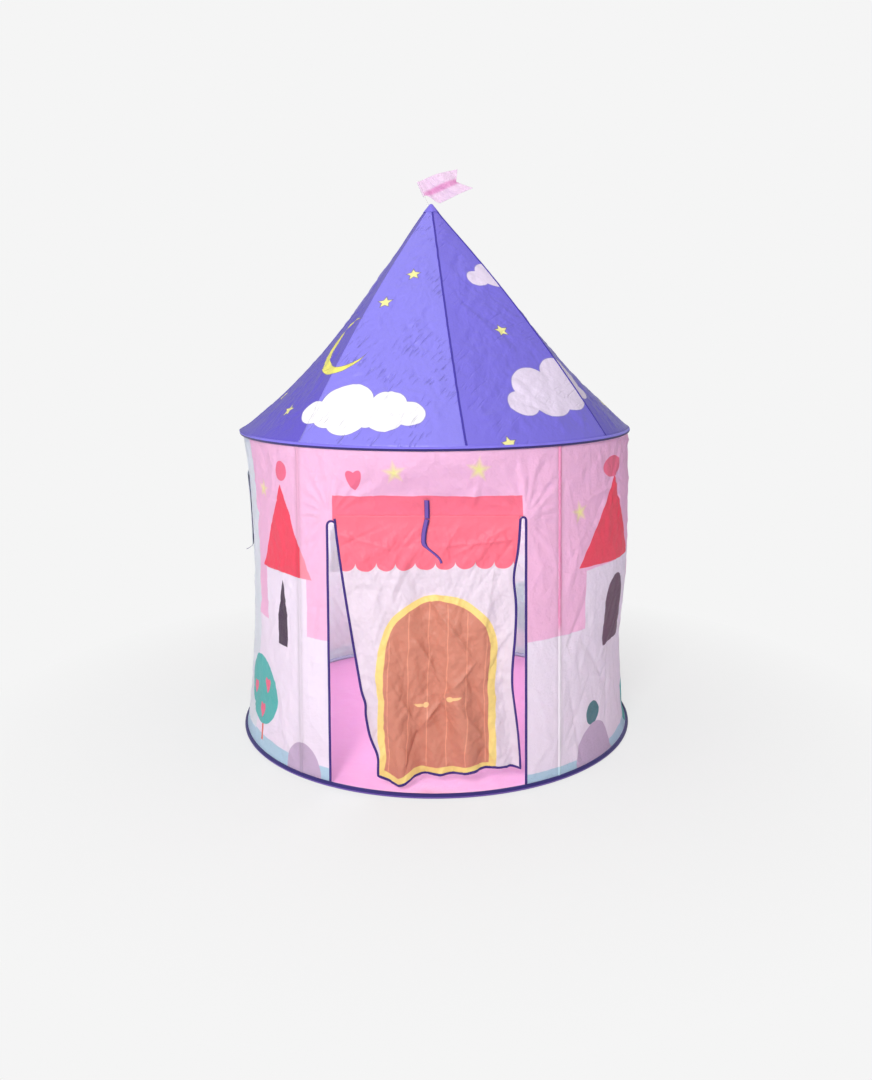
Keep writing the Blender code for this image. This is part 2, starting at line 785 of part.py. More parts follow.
def roof_gore(index, material):
    """One of the roof's panels: round at the eaves and flatter towards the apex."""
    near, far = roof_azimuth(index), roof_azimuth(index + 1)
    middle = direction((near + far) / 2)
    flat = 1.0 - math.cos(math.radians(ROOF_STEP / 2))

    def place(i, j):
        u = i / GORE_COLUMN_COUNT
        share = GORE_TOP_SHARE * j / ROOF_ROW_COUNT
        first = roof_edge(index, share) + sideways(near) * SEAM_GAP / 2
        second = roof_edge(index + 1, share) - sideways(far) * SEAM_GAP / 2
        radius = (roof_radius(index, share) + roof_radius(index + 1, share)) / 2
        roundness = math.exp(-((share / GORE_ROUND_SHARE) ** 2))
        bulge = GORE_FLAT_SHARE + (1.0 - GORE_FLAT_SHARE) * roundness
        return first.lerp(second, u) + middle * (4.0 * u * (1.0 - u) * radius * flat * bulge)

    cloth(f"roof_gore_{index + 1}", GORE_COLUMN_COUNT, ROOF_ROW_COUNT, place, CLOTH_THICKNESS, material)


def rod_frame(index, share, step=1e-4):
    """A point of a roof rod's middle line and its inward direction."""
    before, after = roof_edge(index, share - step), roof_edge(index, share + step)
    along = (after - before).normalized()
    side = sideways(roof_azimuth(index))
    inward = side.cross(along).normalized()
    if inward.z > 0.0:
        inward = -inward
    return roof_edge(index, share) + inward * ROOF_ROD_DROP, inward


def roof_rod(index, rod, sleeve):
    """A sprung rod under one edge of the roof, and the sleeve that holds it there."""
    start = (ROOF_ROD_RADIUS + ROOF_ROD_DROP) / (APEX_HEIGHT - ROOF_BOTTOM)
    reach = HUB_RADIUS + CLEARANCE * 2 + ROOF_ROD_RADIUS + ROOF_ROD_DROP * 0.72
    end = roof_share_at(index, reach)
    shares = [start + (end - start) * k / (ROD_POINT_COUNT - 1) for k in range(ROD_POINT_COUNT)]
    number = index // 2 + 1
    tube(f"roof_rod_{number}", [rod_frame(index, s)[0] for s in shares], ROOF_ROD_RADIUS, rod)

    side = sideways(roof_azimuth(index))
    radius = ROOF_ROD_RADIUS + CLEARANCE + TAPE_THICKNESS / 2 + CLEARANCE
    sleeve_shares = shares[1:-1]

    def place(i, j):
        centre, inward = rod_frame(index, sleeve_shares[j])
        angle = math.radians(ROD_SLEEVE_HALF_ANGLE * (2.0 * i / ROD_SLEEVE_COLUMN_COUNT - 1.0))
        return centre + (inward * math.cos(angle) + side * math.sin(angle)) * radius

    cloth(
        f"roof_rod_sleeve_{number}",
        ROD_SLEEVE_COLUMN_COUNT,
        len(sleeve_shares) - 1,
        place,
        TAPE_THICKNESS,
        sleeve,
    )


def stick_axis():
    """The point that the flag's stick turns about and the direction that it leans in."""
    lean = math.radians(STICK_LEAN)
    pivot = Vector((APEX_OFFSET, 0.0, APEX_HEIGHT - STICK_PIVOT_DROP))
    return pivot, Vector((-math.sin(lean), 0.0, math.cos(lean)))


def stick_bore(name):
    """A cutter along the flag's stick."""
    pivot, lean = stick_axis()
    radius = (STICK_RADIUS + STICK_PLAY) / math.cos(math.pi / STICK_SIDES)
    length = STICK_DEPTH + CLEARANCE + CAP_RADIUS * 2
    cutter = rod_mesh(name, length, radius, STICK_SIDES, None, cutters)
    cutter.location = pivot - lean * (STICK_DEPTH + CLEARANCE)
    cutter.rotation_euler.y = -math.radians(STICK_LEAN)
    return cutter


def apex(hub_material, cap_material):
    """The hub that the roof rods end at, and the cap over the gores' points."""
    seam_share = min(roof_share_at(k, HUB_RADIUS + CLOTH_THICKNESS) for k in range(ROOF_EDGE_COUNT))
    hub_top = roof_height(seam_share) - CLOTH_THICKNESS
    hub = rod_mesh("apex_hub", HUB_HEIGHT, HUB_RADIUS, HUB_SIDES, hub_material)
    hub.location = (APEX_OFFSET, 0.0, hub_top - HUB_HEIGHT)
    cut(hub, stick_bore("hub_bore"))

    round_up = 1.0 / math.cos(math.pi / CAP_SIDES)
    lift = (CLOTH_THICKNESS + CLEARANCE) * 1.6
    low = roof_height(roof_share_at(0, CAP_RADIUS)) + lift
    high = roof_height(roof_share_at(0, CAP_TIP_RADIUS)) + lift
    bm = bmesh.new()
    bmesh.ops.create_cone(
        bm,
        cap_ends=False,
        segments=CAP_SIDES,
        radius1=CAP_RADIUS * round_up,
        radius2=CAP_TIP_RADIUS * round_up,
        depth=high - low,
    )
    mesh = bpy.data.meshes.new("apex_cap")
    bm.to_mesh(mesh)
    bm.free()
    smooth_mesh(mesh)
    cap = add_object("apex_cap", mesh, cap_material)
    cap.location = (APEX_OFFSET, 0.0, (low + high) / 2)
    shell = cap.modifiers.new("thickness", "SOLIDIFY")
    shell.thickness = CLOTH_THICKNESS
    shell.offset = 0.0
    cut(cap, stick_bore("cap_bore"))


def flag(stick_material, cloth_material):
    """The swallow-tailed flag and its leaning stick."""
    pivot, lean = stick_axis()
    length = STICK_DEPTH + HOIST_START + HOIST_LENGTH + STICK_PAST_FLAG
    stick = rod_mesh("flag_stick", length, STICK_RADIUS, STICK_SIDES, stick_material)
    stick.location = pivot - lean * STICK_DEPTH
    stick.rotation_euler.y = -math.radians(STICK_LEAN)

    fly = Vector((lean.z, 0.0, -lean.x))
    seat = STICK_RADIUS + CLEARANCE
    notch_share = 0.22

    def place(i, j):
        v = j / FLAG_ROW_COUNT
        u = i / FLAG_COLUMN_COUNT * (1.0 - notch_share * (1.0 - abs(2.0 * v - 1.0)))
        low = HOIST_START - FLAG_DROOP * smoothstep(4.0 * u)
        high = HOIST_START + HOIST_LENGTH - FLAG_FLY_DROP * u * u
        along = low + (high - low) * v
        reach = seat + FLAG_LENGTH * u * (1.0 - 0.14 * v)
        wave = FLAG_WAVE * math.sin(math.tau * (1.1 * u + 0.25 * v)) * smoothstep(5.0 * u)
        return pivot + lean * along + fly * reach + Vector((0.0, wave, 0.0))

    cloth("flag", FLAG_COLUMN_COUNT, FLAG_ROW_COUNT, place, TAPE_THICKNESS, cloth_material)


def main():
    """Builds every piece of the tent."""
    clear_scene()
    purple_tape = make_material("purple_tape", (0.05, 0.022, 0.22), 0.6)
    violet_cloth = make_material("violet_cloth", (0.17, 0.15, 0.75), 0.5)
    pink_cloth = make_material("pink_cloth", (0.85, 0.42, 0.68), 0.5)
    pale_cloth = make_material("pale_cloth", (0.86, 0.72, 0.84), 0.5)
    floor_cloth = make_material("floor_cloth", (0.86, 0.35, 0.66), 0.55)
    flag_cloth = make_material("flag_cloth", (0.90, 0.50, 0.75), 0.55)
    net_mesh = make_material("window_mesh", (0.85, 0.85, 0.88), 0.6)
    white_rod = make_material("fibreglass", (0.86, 0.86, 0.84), 0.35)
    steel = make_material("spring_steel", (0.45, 0.46, 0.48), 0.35, 1.0)
    hub_plastic = make_material("white_plastic", (0.88, 0.88, 0.88), 0.4)

    hoop("bottom_hoop", BINDING_RADIUS, steel, purple_tape)
    hoop("top_hoop", EAVES_HEIGHT, steel, purple_tape)
    floor_sheet(floor_cloth)
    wall_panels(pink_cloth, pale_cloth)
    for index in range(1, WALL_POLE_COUNT + 1):
        wall_pole(index, white_rod, pale_cloth)
    doorway_tape("doorway_binding_left", -1, purple_tape)
    doorway_tape("doorway_binding_right", 1, purple_tape)
    door_flap(pale_cloth, purple_tape)
    door_tie("door_tie_outer", 1, purple_tape)
    door_tie("door_tie_inner", -1, purple_tape)
    window(net_mesh, purple_tape, pale_cloth, purple_tape)
    for index in range(ROOF_EDGE_COUNT):
        roof_gore(index, violet_cloth)
    for index in range(0, ROOF_EDGE_COUNT, 2):
        roof_rod(index, white_rod, violet_cloth)
    apex(hub_plastic, violet_cloth)
    flag(white_rod, flag_cloth)


main()
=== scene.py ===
"""Dressed model of a children's round cloth play tent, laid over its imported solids.

Lengths are metres and angles are degrees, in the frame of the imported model: the origin is the
middle of the floor, +Z is up and the doorway faces -Y. An azimuth is counted from the doorway's
middle, positive towards +X. Prints are drawn by formula in metres of flat cloth.
"""

from __future__ import annotations

import json
import logging
import math
from collections.abc import Callable, Sequence
from dataclasses import dataclass, replace
from enum import Enum

import bpy
import numpy as np
from mathutils import Matrix, Vector

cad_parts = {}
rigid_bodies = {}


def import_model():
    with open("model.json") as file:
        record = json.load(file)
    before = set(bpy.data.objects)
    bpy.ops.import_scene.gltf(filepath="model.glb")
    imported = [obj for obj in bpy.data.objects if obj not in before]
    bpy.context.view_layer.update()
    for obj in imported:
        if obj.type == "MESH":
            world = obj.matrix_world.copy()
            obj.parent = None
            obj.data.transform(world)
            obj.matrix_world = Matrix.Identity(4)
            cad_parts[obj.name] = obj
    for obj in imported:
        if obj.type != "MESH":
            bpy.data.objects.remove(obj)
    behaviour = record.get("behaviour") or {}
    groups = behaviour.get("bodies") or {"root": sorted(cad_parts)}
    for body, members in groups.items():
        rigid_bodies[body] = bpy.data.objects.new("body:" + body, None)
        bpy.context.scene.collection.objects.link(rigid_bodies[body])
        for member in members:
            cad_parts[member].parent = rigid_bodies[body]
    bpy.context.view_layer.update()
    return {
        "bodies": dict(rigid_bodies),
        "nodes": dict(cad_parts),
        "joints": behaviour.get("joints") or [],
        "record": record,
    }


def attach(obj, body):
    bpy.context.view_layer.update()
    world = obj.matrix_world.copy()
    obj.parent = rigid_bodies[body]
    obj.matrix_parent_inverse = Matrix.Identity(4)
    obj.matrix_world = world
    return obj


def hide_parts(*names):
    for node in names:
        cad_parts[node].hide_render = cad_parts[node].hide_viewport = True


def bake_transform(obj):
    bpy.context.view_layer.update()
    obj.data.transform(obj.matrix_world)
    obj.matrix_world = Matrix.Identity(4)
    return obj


Array = np.ndarray
Material = bpy.types.Material
Socket = bpy.types.NodeSocket
Thing = bpy.types.Object
Colour = tuple[float, float, float]
LOG = logging.getLogger("play_tent")
# The thicknesses of thin cloth, and the length of a bend at a hinged seam, in metres; no piece is
# bent with it.
GAUZE, THIN_CLOTH, BEND = 0.0003, 0.0004, 0.012


class Body(Enum):
    """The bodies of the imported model."""

    TENT = "tent"
    DOOR = "door_flap"
    COVER = "window_cover"
    FLAG = "flag"


class Slot(Enum):
    """The record's material slots."""

    TAPE = "purple_tape"
    ROOF = "violet_cloth"
    PINK = "pink_cloth"
    PALE = "pale_cloth"
    FLOOR = "floor_cloth"
    FLAG = "flag_cloth"
    NET = "window_mesh"


def srgb(red: int, green: int, blue: int) -> Colour:
    """Turns screen values of 0 to 255 into a linear colour."""

    def linear(value: int) -> float:
        """One part of the colour, made linear."""
        share = value / 255.0
        return share / 12.92 if share <= 0.04045 else ((share + 0.055) / 1.055) ** 2.4

    return linear(red), linear(green), linear(blue)


def ease(share: Array) -> Array:
    """Eases values between 0 and 1."""
    share = np.clip(share, 0.0, 1.0)
    return share * share * (3.0 - 2.0 * share)


# ---- shapes ----


@dataclass(frozen=True)
class TentShape:
    """The sizes of the tent and the surfaces that its cloth lies on."""

    outside: float = 0.510
    tape_radius: float = 0.0055
    eaves: float = 0.7706
    apex: float = 1.3587
    apex_shift: float = -0.006
    cloth: float = 0.0012
    tape: float = 0.0009
    gap: float = 0.0003
    seam: float = 0.615
    door_half: float = 25.5
    first_pole: float = 36.0
    pole_step: float = 72.0
    flat_angle: float = 1.4
    waists: tuple[tuple[float, float, float], ...] = (
        (0.024, 0.30, 0.62),
        (0.021, 1.00, 2.00),
        (0.021, 1.00, 2.00),
        (0.027, 0.60, 2.00),
        (0.0, 1.0, 2.0),
    )
    waist_fade: float = 0.42
    first_roof_edge: float = -35.0
    roof_step: float = 45.0
    rod_bow: float = 0.022
    sags: tuple[float, ...] = (0.020, 0.030, 0.042, 0.046)

    @property
    def ring(self) -> float:
        """The radius of the hoops' middle line."""
        return self.outside - self.tape_radius

    @property
    def wall(self) -> float:
        """The radius of the wall cloth."""
        return self.ring - self.cloth

    @property
    def wall_bottom(self) -> float:
        """The height of the wall cloth's lower edge."""
        return 2 * self.tape_radius + self.gap

    @property
    def wall_top(self) -> float:
        """The height of the wall cloth's upper edge."""
        return self.eaves - self.tape_radius - self.gap

    @property
    def roof_bottom(self) -> float:
        """The height of the roof's hem."""
        return self.eaves + self.tape_radius + self.gap + self.cloth / 2

    @property
    def door_plane(self) -> float:
        """The y of the straight seam over the doorway."""
        return -self.wall * math.cos(math.radians(self.door_half))

    @property
    def door_width(self) -> float:
        """Half the width of the doorway along its chord."""
        return self.wall * math.sin(math.radians(self.door_half))

    def waist(self, azimuth: Array, height: Array) -> Array:
        """How far each side or back wall is drawn in between its two rods."""
        turned = np.mod(azimuth - self.first_pole, 360.0)
        panel = np.minimum((turned // self.pole_step).astype(int), len(self.waists) - 1)
        depth, full, top = (np.array(column)[panel] for column in zip(*self.waists))
        along = turned - panel * self.pole_step
        inner = np.clip((along - self.flat_angle) / (self.pole_step - 2 * self.flat_angle), 0, 1)
        rise = np.clip((height - self.wall_bottom) / (self.wall_top - self.wall_bottom), 0, 1)
        swell = np.maximum(np.sin(math.pi * rise), 0.0) ** full
        return depth * swell * ease((top - rise) / self.waist_fade) * np.sin(math.pi * inner)

    def cylinder(self, azimuth: Array, height: Array, radius: Array) -> Array:
        """Points at azimuths, heights and radii."""
        turn = np.radians(azimuth)
        return np.stack([radius * np.sin(turn), -radius * np.cos(turn), height + 0 * turn], -1)

    def side(self, azimuth: Array, height: Array) -> Array:
        """Points on a side or back wall."""
        return self.cylinder(azimuth, height, self.wall - self.waist(azimuth, height))

    def front(self, azimuth: Array, height: Array) -> Array:
        """Points on the front wall, which flattens to the straight seam over the doorway."""
        points = self.cylinder(azimuth, height, self.wall + 0 * azimuth)
        lintel = self.seam + self.cloth / 2 + self.gap
        share = ease((self.wall_top - height) / (self.wall_top - lintel))
        inside = np.abs(azimuth) < self.door_half
        points[..., 1] += np.where(inside, (self.door_plane - points[..., 1]) * share, 0.0)
        return points

    def roof_radius(self, edge: int, share: Array) -> Array:
        """The radius of a roof edge at a share of the roof's height: even edges have a rod."""
        plain = self.ring * (1.0 - share)
        fade = 1.0 - share**8
        if edge % 2 == 0:
            return plain + self.rod_bow * 4.0 * share * (1.0 - share) * fade
        sag = self.sags[(edge // 2) % len(self.sags)]
        return plain - sag * np.sin(math.pi * share**0.7) * fade

    def roof_edge(self, edge: int, share: Array) -> Array:
        """Points on a roof edge."""
        azimuth = self.first_roof_edge + self.roof_step * edge
        height = self.roof_bottom + (self.apex - self.roof_bottom) * share
        points = self.cylinder(azimuth + 0 * share, height, self.roof_radius(edge, share))
        points[..., 0] += self.apex_shift * share
        return points

    def gore(self, index: int, across: Array, share: Array) -> Array:
        """Points on one of the roof's panels."""
        first = self.roof_edge(index, share)
        second = self.roof_edge(index + 1, share)
        radius = (self.roof_radius(index, share) + self.roof_radius(index + 1, share)) / 2
        flat = 1.0 - math.cos(math.radians(self.roof_step / 2))
        bulge = 0.35 + 0.65 * np.exp(-((share / 0.20) ** 2))
        middle = math.radians(self.first_roof_edge + self.roof_step * (index + 0.5))
        out = np.array([math.sin(middle), -math.cos(middle), 0.0])
        swell = 4.0 * across * (1.0 - across) * radius * flat * bulge
        return first + (second - first) * across[..., None] + out * swell[..., None]

    def flap_depth(self, u: Array, v: Array) -> Array:
        """How far the flap's cloth stands behind its seam's plane, before it is balanced."""
        broad = np.sin(math.tau * (2.15 * u + 0.30 * v) + 0.6)
        fine = np.sin(math.tau * (4.60 * u - 0.55 * v) + 2.1)
        return v**1.1 * (0.013 * broad + 0.008 * fine) + 0.022 * (u - 0.5) * v

    def flap_lean(self) -> float:
        """The lean that brings the flap's weight under its seam."""
        u, v = np.meshgrid((np.arange(18) + 0.5) / 18, (np.arange(14) + 0.5) / 14)
        return float(self.flap_depth(u, v).sum() / v.sum())

    def flap(self, u: Array, v: Array) -> Array:
        """Points of the door flap: u runs from left to right and v from the seam to the hem."""
        edge = 0.0026
        half = self.door_width - 0.0060 - 2 * edge
        left = -half + 0.091 * v**1.2
        right = half - 0.010 * np.sin(math.pi * v)
        hem = 2 * self.tape_radius + 0.0035 + 2 * edge + self.gap + 0.034 * ease(1.25 * u)
        depth = self.flap_depth(u, v) - self.flap_lean() * v
        x = left + (right - left) * u
        return np.stack([x, self.door_plane + depth, self.seam + (hem - self.seam) * v], -1)


class Creases:
    """Seeded gradient noise, for the creases of thin cloth."""

    cells: int = 256

    def __init__(self, seed: int) -> None:
        """Draws the noise's directions.

        Args:
            seed: the number that the draws start from.
        """
        self.draws = np.random.default_rng(seed)
        self.turns = self.draws.uniform(0.0, math.tau, self.cells)
        self.order = self.draws.permutation(self.cells)

    def noise(self, x: Array, y: Array) -> Array:
        """Smooth noise of about -0.7 to 0.7, with one wave to each unit."""
        low_x, low_y = np.floor(x), np.floor(y)
        part_x, part_y = x - low_x, y - low_y
        cell_x, cell_y = low_x.astype(int), low_y.astype(int)

        def corner(step_x: int, step_y: int) -> Array:
            """What one corner of each cell adds."""
            row = self.order[(cell_y + step_y) % self.cells]
            turn = self.turns[self.order[(cell_x + step_x + row) % self.cells]]
            return np.cos(turn) * (part_x - step_x) + np.sin(turn) * (part_y - step_y)

        def fade(part: Array) -> Array:
            """Eases a share of a cell."""
            return part**3 * (part * (part * 6.0 - 15.0) + 10.0)

        low = corner(0, 0) + (corner(1, 0) - corner(0, 0)) * fade(part_x)
        high = corner(0, 1) + (corner(1, 1) - corner(0, 1)) * fade(part_x)
        return low + (high - low) * fade(part_y)

    def crumple(
        self, x: Array, y: Array, size: float, turn: float = 0.0, stretch: float = 1.0
    ) -> Array:
        """Creases of crumpled taffeta: sharp ridges between smooth hollows.

        Args:
            x: places across the cloth, in metres.
            y: places along the cloth, in metres.
            size: the usual width of a hollow.
            turn: the direction of the creases, in degrees from y.
            stretch: how much longer than wide the hollows are.

        Returns:
            Heights of about -1 to 1.
        """
        angle = math.radians(turn)
        p = (x * math.cos(angle) + y * math.sin(angle)) / size
        q = (y * math.cos(angle) - x * math.sin(angle)) / (size * stretch)
        shift_p, shift_q = self.noise(0.6 * p + 3.1, 0.6 * q), self.noise(0.6 * p, 0.6 * q + 7.7)
        p, q = p + 0.9 * shift_p, q + 0.9 * shift_q
        total, weight, scale, sign = np.zeros_like(p), 0.0, 1.0, 1.0
        for _ in range(4):
            layer = 1.0 - 3.2 * np.abs(self.noise(p * scale, q * scale))
            total = total + sign * scale**-0.9 * layer
            weight += scale**-0.9
            scale *= 1.9
            sign = -sign
        return total / weight

    def folds(self, x: Array, y: Array, count: int, reach: float, width: float) -> Array:
        """Long straight creases, such as packing leaves in cloth.

        Args:
            x: places across the cloth, in metres.
            y: places along the cloth, in metres.
            count: how many creases there are.
            reach: half the length of the longest.
            width: the usual half width.

        Returns:
            Heights of about -1 to 1.
        """
        total = np.zeros_like(x)
        for _ in range(count):
            centre_x = self.draws.uniform(x.min(), x.max())
            centre_y = self.draws.uniform(y.min(), y.max())
            turn = self.draws.uniform(0.0, math.pi)
            half = self.draws.uniform(0.35, 1.0) * reach
            size = self.draws.uniform(0.35, 1.0) * self.draws.choice((-1.0, 1.0))
            along = (x - centre_x) * math.cos(turn) + (y - centre_y) * math.sin(turn)
            aside = (y - centre_y) * math.cos(turn) - (x - centre_x) * math.sin(turn)
            aside = aside + self.draws.uniform(-0.15, 0.15) * along * along / half
            taper = np.clip(1.0 - (along / half) ** 2, 0.0, 1.0)
            total += size * taper * np.exp(-np.abs(aside) / width)
        return total

    def rays(
        self, x: Array, y: Array, centre: tuple[float, float], count: int, reach: float
    ) -> Array:
        """Creases that run out from a point where the cloth is pulled.

        Args:
            x: places across the cloth, in metres.
            y: places along the cloth, in metres.
            centre: the point.
            count: how many creases go round it.
            reach: how far they go.

        Returns:
            Heights of about -1 to 1.
        """
        away = np.hypot(x - centre[0], y - centre[1])
        turn = np.arctan2(y - centre[1], x - centre[0]) / math.tau
        wave = np.mod(count * turn + 0.5 * self.noise(away * 14.0, turn * 9.0), 1.0)
        ridge = 1.0 - 2.0 * np.abs(2.0 * wave - 1.0) ** 0.7
        return ridge * ease(away / 0.04) * np.exp(-away / reach)


# ---- making meshes ----


class Bench:
    """Makes meshes with Blender's own operators."""

    @staticmethod
    def pick(*objects: Thing) -> None:
        """Selects these objects alone."""
        bpy.ops.object.select_all(action="DESELECT")
        for obj in objects:
            obj.select_set(True)
            bpy.context.view_layer.objects.active = obj

    @staticmethod
    def edit(obj: Thing, *steps: Callable[[], object]) -> None:
        """Runs operators on all of an object's mesh in edit mode.

        Args:
            obj: the object.
            steps: the operators, in order.
        """
        Bench.pick(obj)
        bpy.ops.object.mode_set(mode="EDIT")
        bpy.ops.mesh.select_all(action="SELECT")
        for step in steps:
            step()
        bpy.ops.object.mode_set(mode="OBJECT")

    @staticmethod
    def grid(
        name: str,
        points: Array,
        uvs: Array,
        keep: Array | None = None,
        joined: bool = False,
        thickness: float = 0.0,
    ) -> Thing:
        """Adds a grid and moves its corners to the given places.

        Args:
            name: the object's name.
            points: rows by columns of places.
            uvs: rows by columns of flat places on the cloth.
            keep: rows less one by columns less one, false where a cell is left out.
            joined: true where edges of the grid meet and are sewn together.
            thickness: the cloth's thickness, or 0 for a surface.

        Returns:
            The object.
        """
        Bench.pick()
        rows, columns = points.shape[:2]
        bpy.ops.mesh.primitive_grid_add(
            x_subdivisions=columns - 1, y_subdivisions=rows - 1, size=1.0
        )
        obj = bpy.context.active_object
        obj.name = obj.data.name = name
        mesh = obj.data
        flat = np.empty(len(mesh.vertices) * 3, "f")
        mesh.vertices.foreach_get("co", flat)
        flat = flat.reshape(-1, 3)
        column = np.rint((flat[:, 0] + 0.5) * (columns - 1)).astype(int)
        row = np.rint((flat[:, 1] + 0.5) * (rows - 1)).astype(int)
        mesh.vertices.foreach_set("co", points[row, column].astype("f").ravel())
        corner = Bench.corners(mesh)
        layer = mesh.uv_layers[0] if mesh.uv_layers else mesh.uv_layers.new(name="UVMap")
        layer.data.foreach_set("uv", uvs[row[corner], column[corner]].astype("f").ravel())
        if keep is not None:
            Bench.drop_cells(obj, flat, keep)
        mesh.update()
        if joined:
            Bench.edit(
                obj,
                lambda: bpy.ops.mesh.remove_doubles(threshold=1e-6),
                lambda: bpy.ops.mesh.dissolve_degenerate(threshold=1e-7),
                lambda: bpy.ops.mesh.normals_make_consistent(inside=False),
            )
        mesh.polygons.foreach_set("use_smooth", np.ones(len(mesh.polygons), bool))
        if thickness:
            Bench.thicken(obj, thickness)
        return obj

    @staticmethod
    def corners(mesh: bpy.types.Mesh) -> Array:
        """The vertex at each corner of each face."""
        corners = np.empty(len(mesh.loops), "i")
        mesh.loops.foreach_get("vertex_index", corners)
        return corners

    @staticmethod
    def drop_cells(obj: Thing, flat: Array, keep: Array) -> None:
        """Deletes the cells of a grid that aren't kept.

        Args:
            obj: the grid's object.
            flat: the corners' places in the flat grid.
            keep: rows by columns of cells, false where a cell is left out.
        """
        mesh = obj.data
        rows, columns = keep.shape
        middle = flat[Bench.corners(mesh)].reshape(-1, 4, 3).mean(axis=1)
        row = ((middle[:, 1] + 0.5) * rows).astype(int)
        column = ((middle[:, 0] + 0.5) * columns).astype(int)
        Bench.edit(
            obj,
            lambda: bpy.ops.mesh.select_mode(type="FACE"),
            lambda: bpy.ops.mesh.select_all(action="DESELECT"),
        )
        mesh.polygons.foreach_set("select", ~keep[row, column])
        bpy.ops.object.mode_set(mode="EDIT")
        bpy.ops.mesh.delete(type="FACE")
        bpy.ops.mesh.select_mode(type="VERT")
        bpy.ops.object.mode_set(mode="OBJECT")

    @staticmethod
    def thicken(obj: Thing, thickness: float, lined: bool = False) -> None:
        """Gives cloth its thickness on both sides of its middle.

        Args:
            obj: the cloth.
            thickness: its thickness.
            lined: true where its inner side has a material of its own.
        """
        if lined:
            for _ in range(2):
                obj.data.materials.append(None)
        solid = obj.modifiers.new("thickness", "SOLIDIFY")
        solid.thickness = thickness
        solid.offset = 0.0
        solid.material_offset = int(lined)
        Bench.pick(obj)
        bpy.ops.object.modifier_apply(modifier=solid.name)

    @staticmethod
    def sweep(
        name: str,
        path: Array,
        across: Array,
        up: Array,
        section: Array,
        looped: bool = False,
        swell: Array | None = None,
    ) -> Thing:
        """Draws a closed section along a path.

        Args:
            name: the object's name.
            path: the points of the path.
            across: the direction of the section's first axis at each point.
            up: the direction of the section's second axis at each point.
            section: the section's points, in metres.
            looped: true where the path closes on itself.
            swell: the section's size at each point.

        Returns:
            The object, with its UV map in metres along and round.
        """
        count = len(path)
        scale = np.ones(count) if swell is None else swell
        if not looped:
            path, across, up = (np.concatenate([a[:1], a, a[-1:]]) for a in (path, across, up))
            scale = np.concatenate([[0.0], scale, [0.0]])
        ring = np.concatenate([section, section[:1]])
        first, second = (ring[:, k, None, None] * scale[None, :, None] for k in (0, 1))
        points = path[None, :, :] + across[None, :, :] * first + up[None, :, :] * second
        along, around = (
            np.concatenate([[0.0], np.cumsum(np.linalg.norm(np.diff(line, axis=0), axis=1))])
            for line in (path, ring)
        )
        uvs = np.stack(np.broadcast_arrays(along[None, :], around[:, None]), -1)
        return Bench.grid(name, points, uvs, joined=True)


def rounded_section(width: float, height: float, count: int = 16, power: float = 2.6) -> Array:
    """A flat section with round corners.

    Args:
        width: its whole size along the first axis.
        height: its whole size along the second axis.
        count: how many points it has.
        power: 2 for an ellipse and more for squarer corners.

    Returns:
        The section's points.
    """
    turn = np.arange(count) * math.tau / count
    sides = ((width, np.cos(turn)), (height, np.sin(turn)))
    return np.stack([size / 2 * np.sign(x) * np.abs(x) ** (2 / power) for size, x in sides], -1)


def bell(values: Array, middle: float, width: float) -> Array:
    """Rises to 1 at the middle and falls away on both sides."""
    return np.exp(-(((values - middle) / width) ** 2))


def unit(vectors: Array) -> Array:
    """Scales vectors to length 1."""
    return vectors / np.maximum(np.linalg.norm(vectors, axis=-1, keepdims=True), 1e-9)


def heading(path: Array) -> Array:
    """The direction of a path at each of its points."""
    return unit(np.gradient(path, axis=0))


def level(path: Array) -> Array:
    """The level direction from the tent's middle to each point of a path."""
    return unit(path * np.array([1.0, 1.0, 0.0]))


def same(vector: Sequence[float], path: Array) -> Array:
    """One direction, repeated for each point of a path."""
    return np.broadcast_to(np.array(vector), path.shape)


def normals(points: Array) -> Array:
    """The normals of a grid of points."""
    return unit(np.cross(np.gradient(points, axis=1), np.gradient(points, axis=0)))


def places(start: float, end: float, step: float, extra: Sequence[float] = ()) -> Array:
    """Even places from start to end with the extra ones among them.

    Args:
        start: the first place.
        end: the last place.
        step: the longest step.
        extra: places that have to be there.

    Returns:
        The places in order.
    """
    ends = sorted({start, end, *(e for e in extra if start < e < end)})
    parts = [
        np.linspace(low, high, max(2, math.ceil((high - low) / step) + 1))[:-1]
        for low, high in zip(ends, ends[1:])
    ]
    return np.concatenate([*parts, [end]])


# ---- finishes ----


